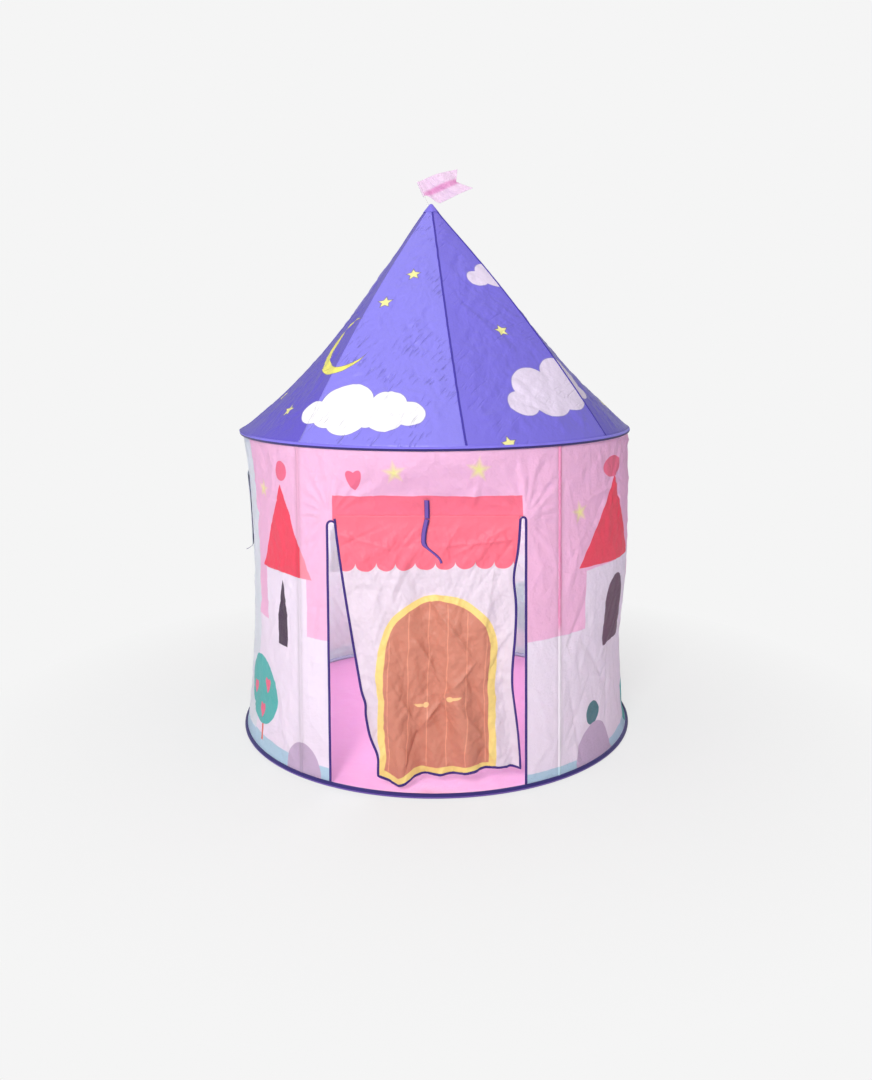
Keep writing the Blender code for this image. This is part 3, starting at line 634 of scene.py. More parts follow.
class Field:
    """A number that changes over a surface, as a shader socket in Python expressions."""

    def __init__(self, surface: Surface, socket: Socket) -> None:
        """Wraps a socket of a surface's node tree."""
        self.surface = surface
        self.socket = socket

    def math(self, operation: str, *others: Field | float, clamp: bool = False) -> Field:
        """Adds one Math node.

        Args:
            operation: the node's operation.
            others: the values after this one.
            clamp: true to keep the result between 0 and 1.

        Returns:
            The node's result.
        """
        settings = {"operation": operation, "use_clamp": clamp}
        return self.surface.field("ShaderNodeMath", settings, dict(enumerate((self, *others))))

    def __add__(self, other: Field | float) -> Field:
        """The sum."""
        return self.math("ADD", other)

    __radd__ = __add__

    def __mul__(self, other: Field | float) -> Field:
        """The product."""
        return self.math("MULTIPLY", other)

    __rmul__ = __mul__

    def __sub__(self, other: Field | float) -> Field:
        """The difference."""
        return self.math("SUBTRACT", other)

    def __rsub__(self, other: float) -> Field:
        """The difference from a number."""
        return self.math("MULTIPLY_ADD", -1.0, other)

    def __truediv__(self, other: Field | float) -> Field:
        """The quotient."""
        return self.math("DIVIDE", other)

    def __neg__(self) -> Field:
        """The negative."""
        return self.math("MULTIPLY", -1.0)

    def __abs__(self) -> Field:
        """The size without its sign."""
        return self.math("ABSOLUTE")

    def lower(self, other: Field | float) -> Field:
        """The smaller of the two."""
        return self.math("MINIMUM", other)

    def upper(self, other: Field | float) -> Field:
        """The larger of the two."""
        return self.math("MAXIMUM", other)

    def inside(self, blur: float = 0.0012) -> Field:
        """A mask that is 1 where this distance is below zero."""
        return self.math("MULTIPLY_ADD", -1.0 / blur, 0.5, clamp=True)


def length(x: Field, y: Field) -> Field:
    """The distance from the origin."""
    return (x * x + y * y).math("SQRT")


class Surface:
    """A material that is built from expressions."""

    def __init__(self, name: str) -> None:
        """Starts a material with one Principled shader.

        Args:
            name: the material's name.
        """
        self.material = bpy.data.materials.new(name)
        self.material.use_nodes = True
        self.tree = self.material.node_tree
        self.shader = self.tree.nodes["Principled BSDF"]
        self.output = self.tree.nodes["Material Output"]

    def node(
        self, kind: str, settings: dict[str, object], values: dict[int | str, object]
    ) -> bpy.types.Node:
        """Adds a node.

        Args:
            kind: the node's type.
            settings: its properties, which are set first.
            values: what goes into its sockets, by number or name.

        Returns:
            The node.
        """
        node = self.tree.nodes.new(kind)
        for name, setting in settings.items():
            setattr(node, name, setting)
        for place, value in values.items():
            self.fill(node.inputs[place], value)
        return node

    def fill(self, socket: Socket, value: object) -> None:
        """Links or sets one socket.

        Args:
            socket: the socket.
            value: a field, another socket, a number or a colour.
        """
        if isinstance(value, Field | Socket):
            self.tree.links.new(getattr(value, "socket", value), socket)
        elif isinstance(value, tuple) and len(value) == 3 and socket.type == "RGBA":
            socket.default_value = (*value, 1.0)
        else:
            socket.default_value = value

    def field(
        self,
        kind: str,
        settings: dict[str, object],
        values: dict[int | str, object],
        output: int | str = 0,
    ) -> Field:
        """Adds a node and gives one of its outputs."""
        return Field(self, self.node(kind, settings, values).outputs[output])

    def flat(self) -> tuple[Field, Field]:
        """The place on the flat cloth, from the UV map, in metres."""
        place = self.node("ShaderNodeUVMap", {"uv_map": "UVMap"}, {})
        parts = self.node("ShaderNodeSeparateXYZ", {}, {0: place.outputs[0]})
        return Field(self, parts.outputs[0]), Field(self, parts.outputs[1])

    def vector(self, x: Field | float, y: Field | float, z: Field | float = 0.0) -> Field:
        """Joins three numbers."""
        return self.field("ShaderNodeCombineXYZ", {}, {0: x, 1: y, 2: z})

    def noise(self, where: Field, scale: float, detail: float = 2.0, rough: float = 0.5) -> Field:
        """Noise of 0 to 1 at a place."""
        values = {"Vector": where, "Scale": scale, "Detail": detail, "Roughness": rough}
        return self.field("ShaderNodeTexNoise", {"noise_dimensions": "3D"}, values, "Fac")

    def mix(self, mask: Field | float, low: object, high: object, blend: str = "MIX") -> Socket:
        """A colour between two others, or the first one multiplied by the second."""
        settings = {"data_type": "RGBA", "blend_type": blend}
        return self.node("ShaderNodeMix", settings, {0: mask, 6: low, 7: high}).outputs[2]

    def shade(self, colour: object, factor: Field) -> Socket:
        """A colour made lighter or darker by a number."""
        return self.mix(1.0, colour, self.vector(factor, factor, factor), "MULTIPLY")

    def blend(self, share: Field | float, shader: bpy.types.Node) -> None:
        """Puts a share of another shader over the Principled one."""
        values = {0: share, 1: self.shader.outputs[0], 2: shader.outputs[0]}
        mixed = self.node("ShaderNodeMixShader", {}, values)
        self.fill(self.output.inputs[0], mixed.outputs[0])

    def bump(self, height: Field, strength: float, distance: float) -> Socket:
        """Roughens the surface by a height."""
        values = {"Strength": strength, "Distance": distance, "Height": height}
        return self.node("ShaderNodeBump", {}, values).outputs[0]

    def finish(self, **values: object) -> Material:
        """Fills the shader's sockets, whose names are written with underscores.

        Args:
            values: what goes into each socket.

        Returns:
            The material.
        """
        for name, value in values.items():
            self.fill(self.shader.inputs[name.replace("_", " ")], value)
        return self.material


@dataclass(frozen=True)
class Motif:
    """A figure in a print, at a place on the flat cloth."""

    x: float
    y: float
    colour: Colour
    turn: float = 0.0
    blur: float = 0.0012
    rim: Colour | None = None

    def local(self, place: tuple[Field, Field]) -> tuple[Field, Field]:
        """The place as the figure sees it."""
        angle = math.radians(self.turn)
        dx, dy = place[0] - self.x, place[1] - self.y
        if not self.turn:
            return dx, dy
        return (
            dx * math.cos(angle) + dy * math.sin(angle),
            dy * math.cos(angle) - dx * math.sin(angle),
        )

    def distance(self, x: Field, y: Field) -> Field:
        """How far outside the figure a place is."""
        raise NotImplementedError

    def paint(self, surface: Surface, place: tuple[Field, Field], colour: object) -> Socket:
        """Prints the figure over a colour."""
        away = self.distance(*self.local(place))
        if self.rim:
            colour = surface.mix((away - 0.0016).inside(0.0016), colour, self.rim)
        return surface.mix(away.inside(self.blur), colour, self.colour)


@dataclass(frozen=True)
class Oval(Motif):
    """A round or oval spot."""

    wide: float = 0.02
    high: float = 0.02

    def distance(self, x: Field, y: Field) -> Field:
        """How far outside the oval a place is."""
        return (length(x / self.wide, y / self.high) - 1.0) * min(self.wide, self.high)


@dataclass(frozen=True)
class Box(Motif):
    """A rectangle that stands on its place."""

    half: float = 0.05
    high: float = 0.1

    def distance(self, x: Field, y: Field) -> Field:
        """How far outside the rectangle a place is."""
        return (abs(x) - self.half).upper(abs(y - self.high / 2) - self.high / 2)


@dataclass(frozen=True)
class Star(Motif):
    """A star of five points."""

    radius: float = 0.02
    inner: float = 0.48

    def distance(self, x: Field, y: Field) -> Field:
        """How far outside the star a place is."""
        half = math.tau / 10
        folded = abs(x.math("ARCTAN2", y).math("WRAP", half, -half))
        reach = length(x, y)
        fall = self.radius * (self.inner * math.cos(half) - 1.0)
        rise = self.radius * self.inner * math.sin(half)
        size = math.hypot(fall, rise)
        along = reach * folded.math("COSINE") * (rise / size)
        aside = reach * folded.math("SINE") * (-fall / size)
        return along + aside - rise / size * self.radius


@dataclass(frozen=True)
class Cloud(Motif):
    """A cloud of round puffs."""

    puffs: tuple[tuple[float, float, float], ...] = ((0.0, 0.0, 0.03),)

    def distance(self, x: Field, y: Field) -> Field:
        """How far outside the cloud a place is."""
        total: Field | None = None
        for dx, dy, radius in self.puffs:
            puff = length(x - dx, (y - dy) * 1.12) - radius
            total = puff if total is None else total.lower(puff)
        return total


@dataclass(frozen=True)
class Crescent(Motif):
    """A new moon."""

    radius: float = 0.05
    bite: tuple[float, float, float] = (0.02, 0.0, 0.04)

    def distance(self, x: Field, y: Field) -> Field:
        """How far outside the moon a place is."""
        dx, dy, radius = self.bite
        return (length(x, y) - self.radius).upper(radius - length(x - dx, y - dy))


@dataclass(frozen=True)
class Arch(Motif):
    """An opening with a round head that stands on its place."""

    half: float = 0.02
    high: float = 0.1

    def distance(self, x: Field, y: Field) -> Field:
        """How far outside the arch a place is."""
        spring = self.high - self.half
        return (length(x, (y - spring).upper(0.0)) - self.half).upper(-y)


@dataclass(frozen=True)
class Ogive(Motif):
    """A slim opening with a pointed head that stands on its place."""

    half: float = 0.02
    high: float = 0.1

    def distance(self, x: Field, y: Field) -> Field:
        """How far outside the opening a place is."""
        share = (y / self.high).upper(0.0).lower(1.0)
        return (abs(x) - (1.0 - share * share * share) * self.half).upper(-y).upper(y - self.high)


@dataclass(frozen=True)
class Cone(Motif):
    """A pointed roof that stands on its place."""

    half: float = 0.05
    high: float = 0.2

    def distance(self, x: Field, y: Field) -> Field:
        """How far outside the roof a place is."""
        size = math.hypot(self.half, self.high)
        flank = abs(x) * (self.high / size) + (y - self.high) * (self.half / size)
        return flank.upper(-y)


@dataclass(frozen=True)
class Heart(Motif):
    """A heart."""

    radius: float = 0.02

    def distance(self, x: Field, y: Field) -> Field:
        """How far outside the heart a place is."""
        return length(x, y - abs(x) * 0.75) - self.radius


@dataclass(frozen=True)
class Awning(Motif):
    """A striped-edge sun blind: a band with a scalloped lower edge."""

    half: float = 0.216
    high: float = 0.14
    pitch: float = 0.045
    drop: float = 0.019

    def distance(self, x: Field, y: Field) -> Field:
        """How far outside the blind a place is."""
        share = abs((x / self.pitch).math("FRACT") - 0.5) * 2.0
        scallop = (1.0 - share * share).upper(0.0).math("SQRT") * self.drop
        flank = abs(x) - self.half
        return (-(y + scallop)).upper(y - self.high).upper(flank)


@dataclass(frozen=True)
class Planks(Motif):
    """Upright joints between boards, inside an arch."""

    half: float = 0.1
    high: float = 0.3
    pitch: float = 0.045

    def distance(self, x: Field, y: Field) -> Field:
        """How far outside the joints a place is."""
        off = abs((x / self.pitch).math("FRACT") - 0.5) * self.pitch
        spring = self.high - self.half
        arch = length(x, (y - spring).upper(0.0)) - self.half + 0.004
        return (off - 0.0011).upper(arch).upper(-y)


@dataclass(frozen=True)
class SleeveShadeStrip:
    """An upright strip of painted shade where a rod's sleeve shows through the cloth and puckers
    it.
    """

    x: float
    half: float = 0.0034
    shade_tint: Colour = (0.86, 0.62, 0.74)
    low: float = 0.0

    def paint(self, surface: Surface, place: tuple[Field, Field], colour: object) -> Socket:
        """Darkens the strip unevenly with painted shade, as the sleeve behind and the puckered
        cloth shade it.
        """
        pucker = surface.noise(surface.vector(place[0] * 30.0, place[1] * 130.0), 1.0, 2.0)
        strip = (abs(place[0] - self.x) - self.half + (pucker - 0.5) * 0.006).inside(0.002)
        start = (place[1] - self.low).math("MULTIPLY", 40.0, clamp=True)
        mask = (strip * (pucker * 0.9 + 0.35)).math("MULTIPLY", start, clamp=True)
        return surface.mix(mask, colour, self.shade_tint, "MULTIPLY")


@dataclass(frozen=True)
class PrintedTaffeta:
    """Thin printed polyester taffeta, with its weave, its sheen and its small creases."""

    name: str
    ground: Colour
    motifs: tuple[Motif | SleeveShadeStrip, ...] = ()
    bands: tuple[tuple[float, Colour], ...] = ()
    wobble: float = 0.0025
    light_through: float = 0.45
    creasing: float = 0.55
    roughness: float = 0.44
    weave: float = 5200.0
    sheen: float = 0.08
    streaks: float = 0.0
    ridges: float = 1.0

    @staticmethod
    def lines(surface: Surface, u: Field, v: Field) -> Field:
        """Straight, sharp ridges that folding has left in the cloth."""
        total: Field | None = None
        for scale, size, shift in ((6.5, 0.75, 0.0), (15.0, 0.40, 4.0)):
            where = surface.vector(u * 1.25 + v * 0.3 + shift, v * 0.8 - u * 0.2)
            settings = {"voronoi_dimensions": "2D", "feature": "DISTANCE_TO_EDGE"}
            values = {"Vector": where, "Scale": scale, "Randomness": 1.0}
            away = surface.field("ShaderNodeTexVoronoi", settings, values, "Distance")
            ridge = (away * (-0.22 * 1000.0 / scale / 10.0) + 1.0).math("MULTIPLY", 1.0, clamp=True)
            patch = surface.noise(where, scale * 0.6, 1.0) - 0.40
            patch = patch.math("MULTIPLY", 5.0, clamp=True)
            line = ridge * ridge * patch * size
            total = line if total is None else total + line
        return total

    def build(self) -> Material:
        """Makes the material."""
        surface = Surface(self.name)
        u, v = surface.flat()
        where = surface.vector(u, v)
        sway = surface.noise(where, 14.0, 1.0)
        swing = surface.noise(surface.vector(u + 5.3, v - 2.7), 14.0, 1.0)
        place = (u + (sway - 0.5) * (2 * self.wobble), v + (swing - 0.5) * (2 * self.wobble))
        colour: object = self.ground
        for low, shade in self.bands:
            tilt = (u / TentShape.outside).math("SINE") * (0.0105 if low < 0.1 else 0.0)
            colour = surface.mix((place[1] + tilt - low).inside(0.002), colour, shade)
        for motif in self.motifs:
            colour = motif.paint(surface, place, colour)
        colour = surface.shade(colour, surface.noise(where, 9.0, 3.0) * 0.07 + 0.965)
        weave = (u * self.weave).math("SINE") * (v * self.weave).math("SINE")
        crease = surface.noise(where, 42.0, 4.0, 0.62)
        fine = surface.noise(where, 160.0, 2.0)
        height = crease * 0.9 + fine * 0.12 + weave * 0.012
        if self.ridges:
            height = height + self.lines(surface, u, v) * self.ridges
        if self.streaks:
            along, aside = u * 0.57 + v * 0.82, v * 0.57 - u * 0.82
            dents = surface.noise(surface.vector(along * 26.0, aside * 130.0), 1.0, 1.0) - 0.58
            patch = (surface.noise(where, 7.0, 1.0) - 0.44).math("MULTIPLY", 6.0, clamp=True)
            height = height - dents.upper(0.0) * patch * (7.0 * self.streaks)
        bump = surface.bump(height, self.creasing, 0.004)
        surface.finish(
            Base_Color=colour,
            Roughness=surface.noise(where, 60.0, 2.0) * 0.12 + (self.roughness - 0.06),
            Sheen_Weight=self.sheen,
            Sheen_Roughness=0.45,
            Specular_IOR_Level=0.5,
            Normal=bump,
        )
        if self.light_through:
            through = surface.node("ShaderNodeBsdfTranslucent", {}, {0: colour, 1: bump})
            surface.blend(self.light_through, through)
        return surface.material


@dataclass(frozen=True)
class WovenTape:
    """Ribbed edging tape, folded over an edge and stitched along it."""

    name: str
    colour: Colour
    rib: float = 0.0011
    stitch: float = 0.0032
    stitch_line: float = 0.0028
    stripes: tuple[tuple[float, float, Colour], ...] = ()

    def build(self) -> Material:
        """Makes the material."""
        surface = Surface(self.name)
        u, v = surface.flat()
        where = surface.vector(u, v)
        rib = (u * (math.tau / self.rib)).math("SINE") * 0.5 + 0.5
        dash = abs((u / self.stitch).math("FRACT") - 0.5) - 0.32
        line = abs(v - self.stitch_line) - 0.00035
        thread = dash.upper(line * 1500.0).inside(0.2)
        fuzz = surface.noise(where, 700.0, 2.0)
        tone = surface.noise(where, 40.0, 3.0) * 0.3 + 0.82 + rib * 0.10
        colour: object = self.colour
        for low, high, stripe in self.stripes:
            inner = (abs(v - (low + high) / 2) - (high - low) / 2).inside(0.0004)
            colour = surface.mix(inner, colour, stripe)
        colour = surface.shade(colour, tone)
        lighter = tuple(min(1.0, part * 1.7 + 0.02) for part in self.colour)
        colour = surface.mix(thread * 0.6, colour, lighter)
        return surface.finish(
            Base_Color=colour,
            Roughness=fuzz * 0.15 + 0.60,
            Sheen_Weight=0.2,
            Sheen_Roughness=0.5,
            Specular_IOR_Level=0.3,
            Normal=surface.bump(rib * 0.35 + fuzz * 0.25 + thread * 0.6, 0.5, 0.0006),
        )


@dataclass(frozen=True)
class Netting:
    """Fine knitted net: holes between crossed threads."""

    name: str
    colour: Colour
    mesh: float = 0.0016
    thread: float = 0.33

    def build(self) -> Material:
        """Makes the material."""
        surface = Surface(self.name)
        u, v = surface.flat()
        first = abs(((u + v) / self.mesh).math("FRACT") - 0.5) * 2.0
        second = abs(((u - v) / self.mesh).math("FRACT") - 0.5) * 2.0
        solid = (first.lower(second) - self.thread).inside(0.25)
        tone = surface.noise(surface.vector(u, v), 60.0, 2.0) * 0.2 + 0.88
        return surface.finish(
            Base_Color=surface.shade(self.colour, tone),
            Roughness=0.7,
            Alpha=solid,
            Normal=surface.bump(first.lower(second), 0.4, 0.0003),
        )


@dataclass(frozen=True)
class Smooth:
    """A hard finish of one colour: drawn rod, moulded plastic or spring wire."""

    name: str
    colour: Colour
    roughness: float = 0.35
    metal: float = 0.0
    coat: float = 0.0
    grain: tuple[float, float, float] = (300.0, 300.0, 12.0)

    def build(self) -> Material:
        """Makes the material."""
        surface = Surface(self.name)
        place = surface.node("ShaderNodeTexCoord", {}, {}).outputs["Object"]
        stretched = surface.node("ShaderNodeMapping", {}, {0: place, 3: self.grain})
        streak = surface.noise(Field(surface, stretched.outputs[0]), 1.0, 3.0, 0.6)
        return surface.finish(
            Base_Color=surface.shade(self.colour, streak * 0.16 + 0.90),
            Roughness=streak * 0.18 + (self.roughness - 0.09),
            Metallic=self.metal,
            Coat_Weight=self.coat,
            Normal=surface.bump(streak, 0.12, 0.0004),
        )


@dataclass(frozen=True)
class Palette:
    """The colours of the print and the trim, with a few copies that have painted light or shade in
    them.
    """

    violet: Colour = srgb(126, 114, 226)
    # Copies of the roof's violet for single gores: the darker one is painted shade, the lighter one
    # a painted sheen highlight.
    shaded_violet: Colour = srgb(104, 90, 206)
    sheen_lit_violet: Colour = srgb(143, 134, 238)
    cloud: Colour = srgb(252, 250, 254)
    lilac: Colour = srgb(238, 224, 246)
    star: Colour = srgb(247, 241, 162)
    star_rim: Colour = srgb(118, 108, 150)
    rim: Colour = srgb(150, 142, 205)
    moon: Colour = srgb(249, 240, 120)
    sky: Colour = srgb(250, 198, 228)
    pale: Colour = srgb(247, 236, 248)
    frost: Colour = srgb(232, 238, 242)
    coral: Colour = srgb(255, 124, 148)
    tower_roof: Colour = srgb(250, 84, 108)
    # A lighter copy of the tower roof for the front panel: painted light, as the front face is lit
    # more than the side.
    tower_roof_lit: Colour = srgb(254, 158, 176)
    ball: Colour = srgb(247, 122, 152)
    glass: Colour = srgb(88, 70, 90)
    glass_right: Colour = srgb(122, 90, 112)
    bush: Colour = srgb(88, 136, 146)
    door: Colour = srgb(222, 146, 124)
    door_line: Colour = srgb(245, 170, 142)
    door_frame: Colour = srgb(255, 230, 146)
    handle: Colour = srgb(255, 214, 156)
    ground: Colour = srgb(190, 219, 234)
    teal: Colour = srgb(94, 194, 188)
    mauve: Colour = srgb(208, 186, 212)
    trunk: Colour = srgb(238, 128, 110)
    floor: Colour = srgb(245, 170, 214)
    flag: Colour = srgb(255, 233, 252)
    flag_fold_shade: Colour = srgb(246, 180, 226)
    lining: Colour = srgb(247, 252, 249)
    inner_band: Colour = srgb(182, 188, 208)
    # The flap's ground: a darker copy of the pale print, which is painted shade.
    door_ground_shaded: Colour = srgb(240, 226, 238)
    tape: Colour = srgb(46, 34, 108)
    piping: Colour = srgb(58, 38, 118)
    ribbon: Colour = srgb(112, 82, 170)
    net: Colour = srgb(236, 236, 242)
    rod: Colour = srgb(236, 236, 232)
    steel: Colour = srgb(168, 170, 175)


# ---- the tent ----


@dataclass(frozen=True)
class Assembly:
    """Parts of the tent that are made and dressed together."""

    shape: TentShape
    palette: Palette

    def build(self) -> None:
        """Makes the assembly."""
        raise NotImplementedError

    @staticmethod
    def place(
        obj: Thing,
        body: Body | None,
        slot: Slot,
        material: Material,
        replaced: Sequence[str] = (),
        lining: Material | None = None,
    ) -> Thing:
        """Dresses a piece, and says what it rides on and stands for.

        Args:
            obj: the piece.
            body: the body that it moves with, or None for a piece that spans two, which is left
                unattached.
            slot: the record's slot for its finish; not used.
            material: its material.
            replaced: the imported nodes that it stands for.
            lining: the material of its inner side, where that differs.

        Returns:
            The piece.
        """
        if lining:
            obj.data.materials[0], obj.data.materials[1] = material, lining
        else:
            obj.data.materials.append(material)
        if body is not None:
            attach(obj, body.value)
        if replaced:
            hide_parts(*replaced)
        LOG.info("%s: %d faces", obj.name, len(obj.data.polygons))
        return obj

    @staticmethod
    def dress(frame: dict, names: Sequence[str], material: Material) -> None:
        """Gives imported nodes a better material.

        Args:
            names: the nodes.
            material: their material.
        """
        for name in names:
            for slot in frame["nodes"][name].material_slots:
                slot.link = "OBJECT"
                slot.material = material


@dataclass(frozen=True)
class Hoops(Assembly):
    """The two sprung hoops in their stitched tape."""

    steps: int = 288

    def build(self) -> None:
        """Makes the tape of both hoops."""
        p = self.palette
        # The bottom tape's lower outer stripe of lighter violet is a painted reflection of the
        # floor.
        low = ((0.0105, 0.0265, p.inner_band), (0.0280, 0.0345, p.ribbon))
        high = ((0.0004, 0.0240, p.violet),)
        hoops = (("bottom_hoop", self.shape.tape_radius, low), ("top_hoop", self.shape.eaves, high))
        for name, height, stripes in hoops:
            tape = WovenTape(f"{name}_tape", p.tape, stitch_line=0.060, stripes=stripes)
            self.band(name, height, tape.build())

    def band(self, name: str, height: float, material: Material) -> None:
        """Makes one hoop's tape: a rolled tape that puckers a little where it is stitched."""
        azimuth = np.linspace(0.0, 360.0, self.steps + 1)
        creases = Creases(11)
        pucker = 1.0 + 0.05 * creases.noise(azimuth * 0.9, 0 * azimuth)
        path = self.shape.cylinder(azimuth, height + 0 * azimuth, self.shape.ring + 0 * azimuth)
        path[-1] = path[0]
        pucker[-1] = pucker[0]
        across = level(path)
        up = same((0.0, 0.0, 1.0), path)
        size = 2 * self.shape.tape_radius * 0.985
        section = rounded_section(size, size, 18, 2.2)
        obj = Bench.sweep(name + "_tape", path, across, up, section, True, np.minimum(pucker, 1.0))
        self.place(obj, Body.TENT, Slot.TAPE, material, [name + "_binding"])


@dataclass(frozen=True)
class Walls(Assembly):
    """The printed wall panels and the floor."""

    step_angle: float = 0.50
    step_height: float = 0.0046
    thickness: float = 0.0005
    radius: float = TentShape.outside

    def flat(self, azimuth: float) -> float:
        """The place across the flat cloth at an azimuth."""
        return self.radius * math.radians(azimuth)

    def turret(self, x: float, half: float, base: float, high: float) -> tuple[Motif, ...]:
        """A plain turret with a pointed roof, a ball on top and an arched window."""
        p = self.palette
        return (
            Box(x, 0.30, p.pale, half=half * 0.85, high=base - 0.30),
            Cone(x, base, p.tower_roof, half=half, high=high),
            Oval(x, base + high + 0.020, p.ball, wide=0.020, high=0.021),
        )

    def motifs(self) -> tuple[Motif, ...]:
        """The figures of the wall's print, all round, and strips of painted shade over the rods'
        sleeves.
        """
        p = self.palette
        broad = ((0, 0, 0.035), (0.04, -0.008, 0.026), (-0.04, -0.006, 0.028))
        small = ((0, 0, 0.030), (0.035, -0.006, 0.022), (-0.035, -0.004, 0.024))
        figures: list[Motif | SleeveShadeStrip] = [
            # Strips of painted shade over the sleeves; the one at 36 degrees is the deepest.
            SleeveShadeStrip(self.flat(36.0), half=0.0046, low=0.338, shade_tint=(0.93, 0.44, 0.64)),
            *(SleeveShadeStrip(self.flat(turn), low=0.333) for turn in (108.0, 180.0, -180.0, -108.0)),
            Box(0.0, 0.30, p.pale, half=0.206, high=0.24),
            Box(-0.721, 0.04, p.frost, half=0.166, high=0.76),
            Box(-0.390, 0.30, p.pale, half=0.0935, high=0.166),
            Cone(-0.389, 0.465, p.tower_roof, half=0.109, high=0.208),
            Oval(-0.384, 0.704, p.ball, wide=0.0235, high=0.0225),
            Ogive(-0.392, 0.292, p.glass, half=0.022, high=0.154),
            Box(0.560, 0.28, p.pale, half=0.150, high=0.190),
            Cone(0.530, 0.472, p.tower_roof, -2.6, half=0.148, high=0.206),
            Oval(0.530, 0.700, p.ball, wide=0.050, high=0.0255),
            Arch(0.563, 0.268, p.glass_right, -1.0, half=0.062, high=0.166),
        ]
        for x in (-1.24, 1.10):
            figures += self.turret(x, 0.13, 0.472, 0.20)
            figures += [Arch(x, 0.290, p.glass, half=0.030, high=0.150)]
        figures += [
            Awning(0.0, 0.5245, p.coral, half=0.220, high=0.1375),
            *(
                Star(x, y, p.star, turn, radius=radius, blur=0.012)
                for x, y, turn, radius in (
                    (-0.071, 0.718, 8.0, 0.018),
                    (0.116, 0.724, -6.0, 0.020),
                    (0.384, 0.609, 10.0, 0.018),
                    (-0.481, 0.651, -8.0, 0.016),
                )
            ),
            Heart(-0.165, 0.694, p.ball, 6.0, radius=0.020),
            Box(-0.505, 0.030, p.trunk, half=0.0045, high=0.050),
            Oval(-0.528, 0.150, p.teal, wide=0.106, high=0.082),
            *(
                Heart(x, y, p.ball, radius=0.016)
                for x, y in ((-0.580, 0.137), (-0.482, 0.166), (-0.512, 0.098))
            ),
            Oval(-0.316, 0.010, p.mauve, wide=0.056, high=0.071),
            Oval(0.452, 0.120, p.bush, wide=0.032, high=0.027),
            Oval(0.458, 0.010, p.mauve, wide=0.080, high=0.086),
            Oval(0.790, 0.020, p.teal, wide=0.080, high=0.080),
            Cloud(0.85, 0.62, p.cloud, puffs=broad),
            Cloud(-0.84, 0.69, p.cloud, puffs=small),
            *(
                Star(x, y, p.star, turn, radius=0.019)
                for x, y, turn in (
                    (0.95, 0.70, 0.0),
                    (1.36, 0.66, 12.0),
                    (-1.02, 0.66, 12.0),
                    (-1.45, 0.62, 5.0),
                )
            ),
        ]
        for x, y in ((-0.88, 0.160), (1.30, 0.165)):
            figures.append(Oval(x, y, p.teal, wide=0.085, high=0.085))
            figures.append(Box(x, 0.040, p.trunk, half=0.0045, high=0.045))
        for x in (0.98, -1.10):
            figures.append(Oval(x, 0.020, p.mauve, wide=0.070, high=0.075))
        return tuple(figures)

    def print_for(self, name: str, low: float, high: float) -> Material:
        """The material of the stretch of wall between two azimuths.

        Args:
            name: the material's name.
            low: the panel's first azimuth.
            high: the panel's last azimuth.

        Returns:
            The material.
        """
        p = self.palette
        reach = 0.24
        first, last = self.flat(low) - reach, self.flat(high) + reach
        near = [motif for motif in self.motifs() if first < motif.x < last]
        if name.startswith("front"):
            # The front panel's tower roofs take the lighter copy: painted light on the face that is
            # lit more.
            lit_roofs = {m: replace(m, colour=p.tower_roof_lit) for m in near if isinstance(m, Cone)}
            near = [lit_roofs.get(motif, motif) for motif in near]
        finish = PrintedTaffeta(
            name,
            p.sky,
            tuple(near),
            bands=((0.333, p.pale), (0.036, p.ground)),
            light_through=0.0 if name == "seam_print_1" else 0.34,
            creasing=0.80,
        )
        return finish.build()

    def crumpled(self, points: Array, flat: Array, seed: int, amount: float, edges: Array) -> Array:
        """Moves cloth off its smooth surface.

        Args:
            points: the smooth surface.
            flat: the flat places of the cloth.
            seed: the number that the creases are drawn from.
            amount: the height of the creases.
            edges: how far each point is from a sewn edge.

        Returns:
            The creased surface.
        """
        creases = Creases(seed)
        u, v = flat[..., 0], flat[..., 1]
        pull = creases.crumple(u, v, 0.085, 24.0, 2.4)
        cross = creases.crumple(u + 3.0, v, 0.055, -38.0, 2.0)
        soft = creases.noise(u * 7.0, v * 3.0)
        free = ease(edges / 0.035)
        height = amount * (0.60 * pull + 0.50 * cross + 0.5 * soft)
        height += 0.0044 * creases.folds(u, v, 44, 0.17, 0.0070)
        height += 0.0024 * creases.folds(u, v, 90, 0.06, 0.0045)
        if abs(flat[..., 0].mean()) < 0.1:
            for side in (-1, 1):
                corner = (side * self.flat(self.shape.door_half), self.shape.seam)
                height += 0.0034 * creases.rays(u, v, corner, 17, 0.17)
        return points + normals(points) * (free * height)[..., None]

